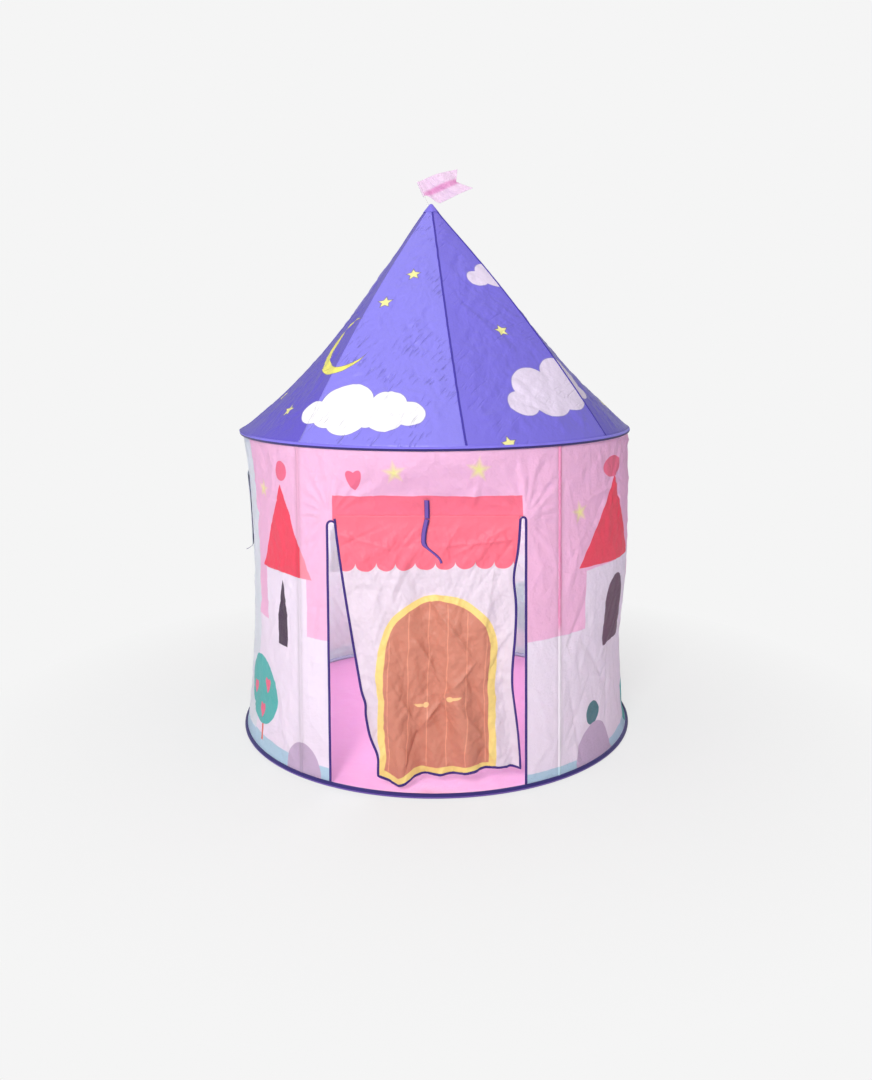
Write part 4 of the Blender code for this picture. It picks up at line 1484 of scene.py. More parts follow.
    def panel(
        self,
        name: str,
        azimuths: Array,
        heights: Array,
        surface: Callable[[Array, Array], Array],
        seed: int,
        amount: float = 0.0034,
        hole: tuple[float, float, float, float] | None = None,
    ) -> Thing:
        """Makes one wall panel.

        Args:
            name: the piece's name.
            azimuths: its columns.
            heights: its rows.
            surface: the smooth surface that it lies on.
            seed: the number that its creases are drawn from.
            amount: the height of its creases.
            hole: first and last azimuth, lowest and highest height of an opening.

        Returns:
            The piece.
        """
        azimuth, height = np.meshgrid(azimuths, heights)
        flat = np.stack([self.radius * np.radians(azimuth), height], -1)
        points = surface(azimuth, height)
        sides = np.minimum(azimuth - azimuths[0], azimuths[-1] - azimuth)
        edges = np.minimum(
            np.radians(sides) * self.radius,
            np.minimum(height - heights[0], heights[-1] - height) * 1.4,
        )
        keep = None
        if hole:
            first, last, low, high = hole
            aside = np.maximum(first - azimuth, azimuth - last)
            above = np.maximum(low - height, height - high)
            away = np.maximum(np.radians(aside) * self.radius, above)
            edges = np.minimum(edges, np.maximum(away, 0.0))
            a, h = np.meshgrid(*((line[1:] + line[:-1]) / 2 for line in (azimuths, heights)))
            keep = ~((a > first) & (a < last) & (h > low) & (h < high))
            if low < 0.0:
                corner = np.where(a < -self.shape.door_half, 0.016, 0.0125)
                keep |= (a < 2.0 - self.shape.door_half) & (h > high - corner)
        points = self.crumpled(points, flat, seed, amount, edges)
        obj = Bench.grid(name, points, flat, keep)
        Bench.thicken(obj, self.thickness, True)
        return obj

    def build(self) -> None:
        """Makes the five wall panels and the floor."""
        s = self.shape
        lining = PrintedTaffeta("wall_lining", self.palette.lining, light_through=0.5).build()
        top = s.wall_top + 0.004
        heights = places(s.wall_bottom - 0.003, top, self.step_height, [s.seam])
        left_edge = -s.door_half - 0.7
        edges = [left_edge, -s.door_half, s.door_half]
        front = places(-s.first_pole, s.first_pole, self.step_angle, edges)
        hole = (left_edge, s.door_half, -1.0, s.seam)
        obj = self.panel("front_cloth", front, heights, s.front, 21, 0.0026, hole)
        front_print = self.print_for("front_print", -36, 36)
        self.place(obj, Body.TENT, Slot.PINK, front_print, ["front_wall"], lining)
        self.flat(72)

        starts = {"right": 36.0, "back_right": 108.0, "back_left": -180.0, "left": -108.0}
        for number, (side, start) in enumerate(starts.items()):
            end = start + s.pole_step
            hole = SideWindow.hole if side == "left" else None
            extra = hole or ()
            azimuths = places(start, end, self.step_angle, extra[:2])
            rows = places(heights[0], top, self.step_height, extra[2:])
            obj = self.panel(f"{side}_cloth", azimuths, rows, s.side, 30 + number, 0.0034, hole)
            material = self.print_for(f"{side}_print", start, end)
            self.place(obj, Body.TENT, Slot.PALE, material, [f"{side}_wall"], lining)
            self.flat(72)
        for number in range(5):
            self.seam(number + 1, s.first_pole + s.pole_step * number)
        self.floor()

    def seam(self, number: int, azimuth: float) -> None:
        """Makes the gathered seam over the joint of two panels.

        Args:
            number: the seam's number.
            azimuth: where it is.
        """
        s = self.shape
        creases = Creases(240 + number)
        across, height = np.meshgrid(
            np.linspace(-1.0, 1.0, 7), places(s.wall_bottom - 0.002, s.wall_top + 0.003, 0.0035)
        )
        gather = 0.5 + 0.5 * creases.crumple(across * 0.004, height, 0.011, 84.0, 1.2)
        lift = 0.0003 + (0.0006 + 0.0008 * np.clip(gather, 0.0, 1.0)) * (1.0 - across**2)
        shift = across * (0.46 + 0.10 * creases.noise(height * 40.0, 0 * height))
        points = s.cylinder(azimuth + shift, height, s.wall + lift)
        turn = azimuth if azimuth <= 180.0 else azimuth - 360.0
        flat = np.stack([self.radius * np.radians(turn + shift), height], -1)
        obj = Bench.grid(f"wall_seam_{number}", points, flat, thickness=GAUZE)
        material = self.print_for(f"seam_print_{number}", turn - 6, turn + 6)
        self.place(obj, Body.TENT, Slot.PALE, material)

    def floor(self) -> None:
        """Makes the groundsheet."""
        s = self.shape
        radius = s.ring - s.tape_radius * 0.72
        turns = np.linspace(0.0, 360.0, 241)
        reach = np.linspace(0.0, radius, 81)
        azimuth, distance = np.meshgrid(turns, reach)
        points = s.cylinder(azimuth, 0.0008 + 0 * azimuth, distance)
        points[:, -1] = points[:, 0]
        creases = Creases(5)
        lift = 0.5 + 0.5 * creases.crumple(points[..., 0], points[..., 1], 0.16, 20.0, 1.5)
        points[..., 2] += 0.0040 * np.clip(lift, 0.0, 1.3) * ease((radius - distance) / 0.06)
        obj = Bench.grid(
            "groundsheet", points, points[..., :2], joined=True, thickness=self.thickness
        )
        finish = PrintedTaffeta("groundsheet_cloth", self.palette.floor, light_through=0.0)
        self.place(obj, Body.TENT, Slot.FLOOR, finish.build(), ["floor_sheet"])


@dataclass(frozen=True)
class WallRods(Assembly):
    """The rods of the wall with their pockets and sleeves."""

    rod_radius: float = 0.0030
    count: int = 5

    def build(self) -> None:
        """Makes each rod's sleeve and pocket."""
        material = PrintedTaffeta(
            "sleeve_cloth", self.palette.pale, light_through=0.6, creasing=0.8
        ).build()
        for number in range(1, self.count + 1):
            azimuth = self.shape.first_pole + self.shape.pole_step * (number - 1)
            self.sleeve(number, azimuth, material)
            self.pocket(number, azimuth, material)

    def centre(self) -> float:
        """The radius of the rods' middle lines."""
        s = self.shape
        return s.wall - s.cloth / 2 - s.gap - s.cloth - 0.0006 - self.rod_radius

    def sleeve(self, number: int, azimuth: float, material: Material) -> None:
        """Makes the puckered channel that a rod slides up."""
        s = self.shape
        heights = places(s.wall_bottom + 0.034, s.wall_top, 0.005)
        inner = s.wall - s.cloth / 2 - self.centre()
        radius = self.rod_radius + 0.0013
        arc = np.radians(np.linspace(0.0, 180.0, 13))
        along = np.concatenate([[-0.0105, -0.0072], -radius * np.cos(arc), [0.0072, 0.0105]])
        inward = np.concatenate([[0.0008] * 2, inner + radius * np.sin(arc), [0.0008] * 2])
        creases = Creases(60 + number)
        i, height = np.meshgrid(np.arange(len(along)), heights)
        pucker = 0.0007 * creases.crumple(along[i], height, 0.012, 80.0, 1.0)
        depth = inward[i] + np.clip(pucker, -0.0002, 0.0009)
        turn = math.radians(azimuth)
        out = np.array([math.sin(turn), -math.cos(turn), 0.0])
        side = np.array([math.cos(turn), math.sin(turn), 0.0])
        reach = s.wall - s.cloth / 2 - depth
        points = out * reach[..., None] + side * along[i][..., None]
        points[..., 2] = height
        flat = np.stack([along[i], height], -1)
        obj = Bench.grid(f"rod_channel_{number}", points, flat, thickness=THIN_CLOTH)
        self.place(obj, Body.TENT, Slot.PALE, material, [f"wall_pole_sleeve_{number}"])

    def pocket(self, number: int, azimuth: float, material: Material) -> None:
        """Makes the round cap of cloth that holds a rod's foot."""
        s = self.shape
        turn = math.radians(azimuth)
        radius = self.rod_radius + 0.0015
        high = (0.0, 0.0, 0.0012, 0.012, 0.033, 0.0335, 0.012, 0.0018, 0.0010)
        wide = (radius * 0.7, radius, radius * 1.02, radius)
        wide = (0.0, *wide, radius - 0.0008, radius - 0.0009, radius - 0.0010, 0.0)
        angle = np.linspace(0.0, math.tau, 25)
        r, z = np.array(wide)[:, None], np.array(high)[:, None]
        x = r * np.cos(angle) + self.centre() * math.sin(turn)
        y = r * np.sin(angle) - self.centre() * math.cos(turn)
        points = np.stack([x, y, z + 0 * angle + s.wall_bottom], -1)
        points[:, -1] = points[:, 0]
        uvs = np.stack(np.broadcast_arrays(angle * radius, z), -1)
        obj = Bench.grid(f"foot_pocket_{number}", points, uvs, joined=True)
        self.place(obj, Body.TENT, Slot.PALE, material, [f"pole_pocket_{number}"])


@dataclass(frozen=True)
class Doorway(Assembly):
    """The taped edges of the doorway and the ribbons that tie the rolled flap up."""

    tape_width: float = 0.0060
    tape_thick: float = 0.0030
    loops: tuple[tuple[float, float, float], ...] = ((0.7, 0.0100, 0.0120), (0.0, 0.001, 0.0070))
    ribbon: tuple[float, float, int, float] = (0.0112, 0.0009, 12, 4.0)

    def build(self) -> None:
        """Makes both edges' tapes and both sewn ribbon ends."""
        tape = WovenTape("doorway_tape", self.palette.piping, stitch_line=0.003).build()
        for side, name in ((-1, "left"), (1, "right")):
            self.edge(side, name, tape)
        ribbon = self.ribbon_finish(self.palette)
        for side, name in ((1, "outer"), (-1, "inner")):
            self.tab(side, name, ribbon)

    @staticmethod
    def ribbon_finish(palette: Palette) -> Material:
        """The woven ribbon, which is paler between its selvedges."""
        stripes = ((0.0034, 0.0102, palette.ribbon),)
        return WovenTape("ribbon_tape", palette.piping, stitch_line=0.03, stripes=stripes).build()

    def edge(self, side: int, name: str, material: Material) -> None:
        """Makes one upright tape, which turns over at the top towards the flap."""
        s = self.shape
        wider, lower, bend = self.loops[(side + 1) // 2]
        heights = places(s.wall_bottom - 0.002, s.seam - lower - bend, 0.006)
        azimuth = side * (s.door_half + wider) + 0 * heights
        creases = Creases(71 + side)
        sway = 0.0008 * creases.noise(heights * 18.0, 0 * heights)
        path = s.cylinder(azimuth, heights, s.wall + sway)
        inward = -side * unit(
            np.stack([np.cos(np.radians(azimuth)), np.sin(np.radians(azimuth)), 0 * heights], -1)
        )
        path = path - inward * (self.tape_width / 2 - 0.0022)
        arc = np.radians(np.linspace(10.0, 175.0, 14))
        centre = path[-1] + inward[-1] * bend
        turn = centre - inward[-1] * (bend * np.cos(arc))[:, None]
        turn = turn + np.array([0, 0, 1.0]) * (bend * np.sin(arc))[:, None]
        path = np.concatenate([path, turn])
        tangent = heading(path)
        out = level(path)
        across = unit(np.cross(tangent, out))
        section = rounded_section(self.tape_width, self.tape_thick, 16, 3.0)
        swell = np.concatenate([np.ones(len(heights)), np.linspace(0.9, 0.6, len(arc))])
        obj = Bench.sweep(f"doorway_tape_{name}", path, across, out, section, False, swell)
        self.place(obj, Body.TENT, Slot.TAPE, material, [f"doorway_binding_{name}"])

    def tab(self, side: int, name: str, material: Material) -> None:
        """Makes the sewn end of a ribbon, on the wall over the doorway."""
        s = self.shape
        heights = places(s.seam - 0.0036, s.seam + 0.040, 0.003)
        zero = 0 * heights
        path = s.front(zero, heights)
        tangent = heading(path)
        right = same((1.0, 0.0, 0.0), path)
        out = unit(np.cross(right, tangent)) * side
        path = path + out * 0.0052
        section = rounded_section(*self.ribbon)
        obj = Bench.sweep(f"ribbon_end_{name}", path, right * side, out, section)
        self.place(obj, Body.TENT, Slot.TAPE, material, [f"door_tie_{name}_tab"])


@dataclass(frozen=True)
class DoorFlap(Assembly):
    """The hanging door with its folds, its print, its taped edges and its ribbons."""

    columns: int = 150
    rows: int = 220
    samples: int = 200
    thickness: float = 0.0005
    hem: tuple[tuple[float, ...], tuple[float, ...]] = (
        (0.0, 0.10, 0.15, 0.26, 0.42, 0.55, 0.66, 0.84, 0.93, 1.0),
        (0.012, -0.004, -0.010, 0.004, -0.008, -0.012, -0.008, -0.010, -0.009, -0.012),
    )
    pleats: tuple[tuple[tuple[float, float], tuple[float, float], float, float], ...] = (
        ((0.005, 0.43), (0.105, 0.29), 0.0085, 0.007),
        ((0.105, 0.29), (-0.020, 0.14), 0.0085, 0.008),
        ((-0.020, 0.14), (-0.055, 0.03), -0.0065, 0.007),
        ((-0.030, 0.34), (0.030, 0.24), 0.0070, 0.006),
        ((-0.215, 0.58), (-0.090, 0.545), 0.0035, 0.004),
        ((-0.200, 0.545), (-0.060, 0.610), -0.0030, 0.004),
        ((0.040, 0.550), (0.200, 0.565), 0.0035, 0.004),
        ((0.080, 0.610), (0.030, 0.530), 0.0025, 0.004),
        ((0.090, 0.25), (0.135, 0.12), -0.0055, 0.008),
        ((-0.085, 0.24), (-0.040, 0.16), 0.0050, 0.007),
        ((-0.110, 0.44), (-0.050, 0.30), -0.0035, 0.009),
        ((0.060, 0.20), (0.150, 0.06), 0.0045, 0.007),
        ((0.150, 0.52), (0.120, 0.33), 0.0040, 0.008),
        ((-0.190, 0.60), (-0.100, 0.44), 0.0035, 0.006),
        ((0.195, 0.60), (0.060, 0.53), 0.0030, 0.005),
        ((0.195, 0.57), (0.100, 0.44), -0.0030, 0.005),
    )

    def creased(self, u: Array, v: Array) -> Array:
        """The flap's surface with its sharp creases."""
        s = self.shape
        points = s.flap(u, v)
        creases = Creases(90)
        right = ease((u - 0.55) / 0.45)
        pull = 0.008 * bell(v, 0.24, 0.08) + 0.010 * bell(v, 0.67, 0.15)
        points[..., 0] -= right * pull
        left = ease((0.30 - u) / 0.30)
        jut = 0.004 * bell(v, 0.71, 0.03) + 0.009 * bell(v, 0.92, 0.06)
        points[..., 0] += left * jut
        hem = ease((v - 0.80) / 0.20)
        points[..., 2] += hem * np.interp(u, *self.hem)
        top = np.exp(-v / 0.008)
        points[..., 1] -= 0.0012 * top
        points[..., 2] += 0.0026 * top
        x, z = points[..., 0], points[..., 2]
        big = creases.crumple(x, z, 0.110, 30.0, 2.6)
        pulls = creases.crumple(x + 2.0, z, 0.060, -28.0, 3.0)
        small = creases.crumple(x, z + 4.0, 0.034, 12.0, 1.8)
        height = 0.0060 * big + 0.0044 * pulls + 0.0022 * small
        height += 0.0022 * creases.folds(x, z, 60, 0.12, 0.0055)
        for start, end, size, width in self.pleats:
            away = (end[0] - start[0], end[1] - start[1])
            reach = math.hypot(*away)
            along = ((x - start[0]) * away[0] + (z - start[1]) * away[1]) / reach
            aside = ((z - start[1]) * away[0] - (x - start[0]) * away[1]) / reach
            taper = ease(along / 0.05 + 0.5) * ease((reach - along) / 0.05 + 0.5)
            height = height + size * taper * np.exp(-np.abs(aside) / width)
        free = ease(v / 0.10) * ease(u / 0.05 + 0.25) * ease((1 - u) / 0.05 + 0.25)
        facing = normals(points)
        facing = facing * -np.sign(facing[..., 1:2].mean())
        return points + facing * (free * height)[..., None]

    def print(self) -> Material:
        """The flap's print: the blind's scalloped edge and a boarded door in an arch."""
        p = self.palette
        figures = (
            Awning(0.018, 0.5095, p.coral, half=0.30, high=0.15, pitch=0.0445),
            Arch(0.0145, -0.02, p.door_frame, -1.5, half=0.1345, high=0.450),
            Arch(0.0150, 0.032, p.door, -1.5, half=0.1185, high=0.3830),
            Planks(0.0150, 0.034, p.door_line, -1.5, half=0.1185, high=0.3810, pitch=0.044),
            Oval(-0.018, 0.178, p.handle, -8.0, wide=0.014, high=0.0036),
            Oval(-0.006, 0.177, p.handle, wide=0.0065, high=0.0065),
            Oval(0.062, 0.185, p.handle, 12.0, wide=0.012, high=0.0036),
            Oval(0.050, 0.183, p.handle, wide=0.0065, high=0.0065),
        )
        # The darker ground is painted shade of the leaning flap.
        finish = PrintedTaffeta("door_print", p.door_ground_shaded, figures, light_through=0.22)
        return replace(finish, wobble=0.005, creasing=0.85, ridges=1.3).build()

    def build(self) -> None:
        """Makes the flap, its edge tape and its two hanging ribbons."""
        s = self.shape
        u, v = np.meshgrid(np.linspace(0, 1, self.columns), np.linspace(1, 0, self.rows))
        points = self.creased(u, v)
        flat = np.stack([s.flap(u, v)[..., 0], s.seam - v * (s.seam - 0.017)], -1)
        cloth = Bench.grid("door_cloth", points, flat, thickness=self.thickness)
        self.place(cloth, None, Slot.PALE, self.print(), ["door_flap"])
        self.hinge(cloth)

        tape = WovenTape("flap_tape", self.palette.piping, stitch_line=0.003).build()
        self.edging(tape)
        ribbon = Doorway.ribbon_finish(self.palette)
        for side, name in ((1, "outer"), (-1, "inner")):
            self.ribbon(side, name, ribbon)

    def hinge(self, obj: Thing) -> None:
        """Bakes a piece's transform into its mesh."""
        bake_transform(obj)

    def edging(self, material: Material) -> None:
        """Makes the tape folded over the flap's free edges."""
        down = np.linspace(0.010, 1.0, 110)
        across_hem = np.linspace(0.0, 1.0, 90)[1:-1]
        u = np.concatenate([0 * down, across_hem, 0 * down + 1])
        v = np.concatenate([down, 0 * across_hem + 1, down[::-1]])
        last = self.samples
        even = np.linspace(0, 1, last + 1)
        surface = self.creased(*np.meshgrid(even, even))
        row, column = (np.rint(part * last).astype(int) for part in (v, u))
        facing = normals(surface)
        facing = (facing * -np.sign(facing[..., 1:2].mean()))[row, column]

        def along(share: Array, line: Array) -> Array:
            """The points at shares of one edge of the grid."""
            spots = np.arange(last + 1)
            axes = [np.interp(share * last, spots, line[:, axis]) for axis in range(3)]
            return np.stack(axes, -1)

        path = np.where((u > 0)[:, None], along(u, surface[last]), along(v, surface[:, 0]))
        path = np.where((u == 1)[:, None], along(v, surface[:, last]), path)
        tangent = heading(path)
        sideways = unit(np.cross(tangent, facing))
        section = rounded_section(0.0058, 0.0026, 14, 3.0)
        obj = Bench.sweep("flap_tape", path, sideways, facing, section)
        self.place(obj, Body.DOOR, Slot.TAPE, material, ["door_flap_binding"])

    def ribbon(self, side: int, name: str, material: Material) -> None:
        """Makes the loose end of a ribbon, which lies down the flap."""
        s = self.shape
        share = np.linspace(0.0, 1.0, 40)
        curl = 0.032 * ease(2.2 * share - 1.1) - 0.010 * np.sin(share * 3.0)
        u = 0.5 + curl * (1 + side) / 2 / (2 * s.door_width)
        v = (0.006 + 0.106 * share) / (s.seam - 0.0026)
        flap = s.flap(u, v)
        out = same((0.0, -1.0, 0.0), flap) * side
        path = flap + out * (0.0046 + 0.0016 * np.sin(share * 5.0))[:, None]
        tangent = heading(path)
        across = unit(np.cross(out, tangent))
        out = unit(np.cross(tangent, across))
        section = rounded_section(*Doorway.ribbon)
        swell = 1.0 - 0.55 * ease((share - 0.55) / 0.12)
        obj = Bench.sweep(f"ribbon_{name}", path, across, out, section, False, swell)
        self.place(obj, Body.DOOR, Slot.TAPE, material, [f"door_tie_{name}"])


@dataclass(frozen=True)
class SideWindow(Assembly):
    """The netted window in the left wall, under its cover."""

    bottom: float = 0.7706 * 0.6307
    high: float = 0.7706 * 0.2076
    azimuth: float = -90.0
    half: float = 12.0
    hole: tuple[float, float, float, float] = (-102.0, -78.0, 0.486, 0.646)
    overlap: float = 0.016
    hinge: float = -0.4959

    def patch(
        self, margin: float, step: float, outward: float, seed: int, amount: float
    ) -> tuple[Array, Array]:
        """A patch of wall round the window.

        Args:
            margin: how far it reaches past the opening.
            step: the spacing of its points.
            outward: how far it stands in front of the wall.
            seed: the number that its creases are drawn from.
            amount: the height of its creases.

        Returns:
            Its points and their flat places.
        """
        s = self.shape
        turn = math.degrees(margin / s.wall)
        reach = self.half + turn
        columns = places(self.azimuth - reach, self.azimuth + reach, step * 112)
        rows = places(self.bottom - margin, self.bottom + self.high + margin, step)
        azimuth, height = np.meshgrid(columns, rows)
        points = s.cylinder(azimuth, height, s.wall - s.waist(azimuth, height) + outward)
        flat = np.stack([s.outside * np.radians(azimuth), height], -1)
        if amount:
            creases = Creases(seed)
            lift = 0.5 + 0.5 * creases.crumple(flat[..., 0], flat[..., 1], 0.06, 20.0, 2.0)
            points = points + normals(points) * (amount * np.clip(lift, 0.0, 1.0))[..., None]
        return points, flat

    def build(self) -> None:
        """Makes the net, the tape round it, the cover and the cover's ribbon."""
        s, p = self.shape, self.palette
        points, flat = self.patch(0.004, 0.004, -0.0004, 0, 0.0)
        net = Bench.grid("window_netting", points, flat, thickness=GAUZE)
        net_finish = Netting("window_netting", p.net).build()
        self.place(net, Body.TENT, Slot.NET, net_finish, ["window_net"])
        self.frame_tape()
        cover_print = Walls(s, p).print_for("cover_print", -108, -72)
        points, flat = self.patch(self.overlap, 0.003, 0.0028, 41, 0.0022)
        cover = Bench.grid("cover_cloth", points, flat, thickness=0.0005)
        self.place(cover, None, Slot.PALE, cover_print, ["window_cover"])
        top = self.bottom + self.high + self.overlap
        ends = ((self.hinge, 0.0, top), (self.hinge, 0.0, top - BEND))
        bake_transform(cover)
        self.ribbon()

    def frame_tape(self) -> None:
        """Makes the tape sewn round the opening."""
        s = self.shape
        outward = 0.0016
        side = math.radians(self.half) * s.wall
        width = 0.015
        u_low, u_high = -side - 0.0015, side + 0.0015
        v_low, v_high = self.bottom - 0.0015, self.bottom + self.high + 0.0015
        corner = 0.010
        spots = [
            (u_low + corner, v_low),
            (u_high - corner, v_low),
            (u_high, v_low + corner),
            (u_high, v_high - corner),
            (u_high - corner, v_high),
            (u_low + corner, v_high),
            (u_low, v_high - corner),
            (u_low, v_low + corner),
            (u_low + corner, v_low),
        ]
        route = []
        for first, second in zip(spots, spots[1:]):
            count = max(3, int(math.dist(first, second) / 0.005))
            share = np.arange(count)[:, None] / count
            route.append(np.array(first) + np.subtract(second, first) * share)
        flat = np.concatenate([*route, route[0][:1]])
        azimuth = self.azimuth + np.degrees(flat[:, 0] / s.wall)
        radius = s.wall - s.waist(azimuth, flat[:, 1]) + outward
        path = s.cylinder(azimuth, flat[:, 1], radius)
        out = level(path)
        tangent = unit(np.roll(path[:-1], -1, 0) - np.roll(path[:-1], 1, 0))
        tangent = np.concatenate([tangent, tangent[:1]])
        across = unit(np.cross(tangent, out))
        section = rounded_section(width, 0.0012, 12, 4.0)
        obj = Bench.sweep("window_tape", path, across, out, section, True)
        tape = WovenTape("window_tape", self.palette.piping, stitch_line=0.002).build()
        self.place(obj, Body.TENT, Slot.TAPE, tape, ["window_binding"])

    def ribbon(self) -> None:
        """Makes the ribbon at the cover's lower edge, which sticks out a little."""
        s = self.shape
        low = self.bottom - self.overlap
        share = np.linspace(0.0, 1.0, 30)
        height = low + 0.003 - 0.050 * share * (1.0 - 0.35 * share)
        azimuth = self.azimuth + 0 * share
        radius = s.wall - s.waist(azimuth, height) + 0.0045 + 0.022 * share**2
        path = s.cylinder(azimuth, height, radius)
        tangent = heading(path)
        side = same((0.0, 1.0, 0.0), path)
        out = unit(np.cross(side, tangent))
        section = rounded_section(0.0085, 0.0009, 12, 4.0)
        obj = Bench.sweep("cover_ribbon", path, side, out, section)
        tape = WovenTape("cover_ribbon_tape", self.palette.piping, stitch_line=0.002).build()
        self.place(obj, Body.COVER, Slot.TAPE, tape, ["window_tie"])


@dataclass(frozen=True)
class Roof(Assembly):
    """The eight printed gores, their seams, and the sleeves of the rods under them."""

    columns: int = 84
    rows: int = 170
    thickness: float = 0.0005
    edges: int = 8
    top: float = 0.968
    channel: float = 0.0034

    @property
    def slant(self) -> float:
        """The length of the roof's slope from its hem to its point."""
        return math.hypot(self.shape.ring, self.shape.apex - self.shape.roof_bottom)

    def flat(self, azimuth: Array, share: Array) -> Array:
        """The place on the flat roof cloth, laid out as a fan about the roof's point."""
        turn = np.radians(azimuth) * (self.shape.ring / self.slant)
        reach = self.slant * (1.0 - share)
        return np.stack([reach * np.sin(turn), -reach * np.cos(turn)], -1)

    def at(self, azimuth: float, share: float) -> tuple[float, float, float]:
        """A flat place and the turn of upright there."""
        x, y = self.flat(np.array(azimuth), np.array(share))
        return float(x), float(y), azimuth * self.shape.ring / self.slant

    def figures(self, index: int) -> tuple[Motif, ...]:
        """The figures printed on and near one gore."""
        p = self.palette
        wide = ((-0.112, -0.008, 0.036), (-0.032, 0.008, 0.066), (0.070, 0.010, 0.044))
        wide += ((0.125, -0.004, 0.036), (0.072, -0.020, 0.045), (-0.020, -0.030, 0.052))
        wide += ((-0.066, -0.018, 0.042), (0.030, -0.018, 0.040))
        tall = ((-0.118, -0.040, 0.040), (-0.055, -0.002, 0.062), (0.052, 0.022, 0.068))
        tall += ((0.085, -0.012, 0.034), (-0.040, -0.040, 0.058), (0.020, -0.030, 0.055))
        little = ((-0.014, -0.004, 0.027), (0.035, 0.010, 0.044), (0.085, -0.004, 0.034))
        clouds = (
            (p.cloud, wide, ((-20.5, 0.130), (118.0, 0.160), (-150.0, 0.200))),
            (p.lilac, tall, ((46.0, 0.205), (160.0, 0.360), (-100.0, 0.180))),
            (p.lilac, little, ((44.0, 0.655),)),
        )
        stars = ((-12.0, 0.665), (-25.5, 0.545), (36.5, 0.425), (-49.0, 0.105), (-72.0, 0.150))
        stars += ((21.0, 0.002), (-120.0, 0.520), (100.0, 0.480), (140.0, 0.560), (-165.0, 0.500))
        stars += ((80.0, 0.100), (-130.0, 0.100), (178.0, 0.110))
        spots = [(*spot, colour, puffs) for colour, puffs, group in clouds for spot in group]
        spots += [(*spot, p.star, ()) for spot in stars]
        middle = self.shape.first_roof_edge + self.shape.roof_step * (index + 0.5)
        figures: list[Motif] = []
        for azimuth, share, colour, puffs in spots:
            off = (azimuth - middle + 180.0) % 360.0 - 180.0
            if abs(off) > 52.0:
                continue
            x, y, turn = self.at(middle + off, share)
            if puffs:
                figures.append(Cloud(x, y, colour, turn, puffs=puffs, rim=p.rim))
            else:
                figures.append(Star(x, y, colour, turn + 9.0, radius=0.0165, rim=p.star_rim))
        if index in (0, 7):
            x, y, turn = self.at(-39.2 if index == 0 else 320.8, 0.366)
            bite = (0.0215, 0.0030, 0.0765)
            figures.append(
                Crescent(x, y, p.moon, turn + 25.7, radius=0.088, bite=bite, rim=p.star_rim)
            )
        return tuple(figures)

    def build(self) -> None:
        """Makes every gore and seam, and the rods' sleeves."""
        s, p, slant = self.shape, self.palette, self.slant
        for index in range(self.edges):
            shares = np.linspace(0.0, self.top, self.rows)
            u, share = np.meshgrid(np.linspace(0, 1, self.columns), shares)
            azimuth = s.first_roof_edge + s.roof_step * (index + u)
            points = s.gore(index, u, share)
            flat = self.flat(azimuth, share)
            creases = Creases(120 + index)
            x, y = flat[..., 0], flat[..., 1]
            width = 2 * np.linalg.norm(points[:, 0] - points[:, -1], axis=-1)[:, None]
            side = np.minimum(u, 1 - u) * width / 2
            end = np.minimum(share * slant, (0.97 - share) * slant)
            free = ease(side / 0.05) * ease(end / 0.05)
            turn = s.first_roof_edge + s.roof_step * (index + 0.5)
            big = creases.crumple(x, y, 0.090, turn * 0.65 + 30.0, 2.2)
            small = creases.crumple(x + 5.0, y, 0.045, turn * 0.65 - 35.0, 2.0)
            fine = creases.crumple(x, y, 0.020, turn * 0.65 - 42.0, 3.4)
            rough = 1.0 if index == 0 else 0.45
            height = 0.0036 * big + 0.0024 * small + 0.0012 * rough * fine
            height += 0.0032 * rough * creases.folds(x, y, 60, 0.07, 0.0050)
            facing = normals(points)
            facing = facing * np.sign(facing[..., 2:3].mean())
            points = points + facing * (free * height)[..., None]
            points[0] += points[0] - points[1]
            obj = Bench.grid(f"roof_cloth_{index + 1}", points, flat, thickness=self.thickness)
            # Gore 1's lighter violet is a painted sheen highlight; gores 3 and 8 have a darker
            # violet, which is painted shade.
            finish = PrintedTaffeta(
                f"roof_print_{index + 1}",
                {0: p.sheen_lit_violet, 2: p.shaded_violet, 7: p.shaded_violet}.get(index, p.violet),
                self.figures(index),
                light_through=0.10,
                creasing=0.6,
                roughness=0.36,
                sheen=0.14,
                streaks=1.9 if index == 0 else 0.5,
                ridges=0.6,
            )
            nodes = [f"roof_gore_{index + 1}"]
            self.place(obj, Body.TENT, Slot.ROOF, finish.build(), nodes)
        dark = WovenTape("roof_seam_tape", srgb(62, 48, 160), stitch_line=0.002).build()
        for edge in range(1, self.edges):
            self.seam(edge, dark)
        sleeve = PrintedTaffeta("rod_sleeve_cloth", self.palette.violet, light_through=0.1).build()
        for number in range(1, 5):
            self.sleeve(number, sleeve)

    def ridge(self, edge: int, share: Array) -> tuple[Array, Array, Array]:
        """A roof edge's points, the level direction across it and the way out of the roof."""
        s = self.shape
        path = s.roof_edge(edge, share)
        azimuth = math.radians(s.first_roof_edge + s.roof_step * edge)
        side = same((math.cos(azimuth), math.sin(azimuth), 0.0), path)
        return path, side, unit(np.cross(side, heading(path)))

    def seam(self, edge: int, material: Material) -> None:
        """Makes the stitched welt along one roof edge."""
        share = np.linspace(0.0, self.top, 120)
        path, side, out = self.ridge(edge, share)
        creases = Creases(160 + edge)
        sway = 0.0010 * creases.noise(share * 30.0, 0 * share)
        path = path + side * sway[:, None] + out * 0.0002
        section = rounded_section(0.0050, 0.0024, 12, 2.4)
        obj = Bench.sweep(f"roof_seam_{edge + 1}", path, side, out, section)
        self.place(obj, Body.TENT, Slot.ROOF, material)

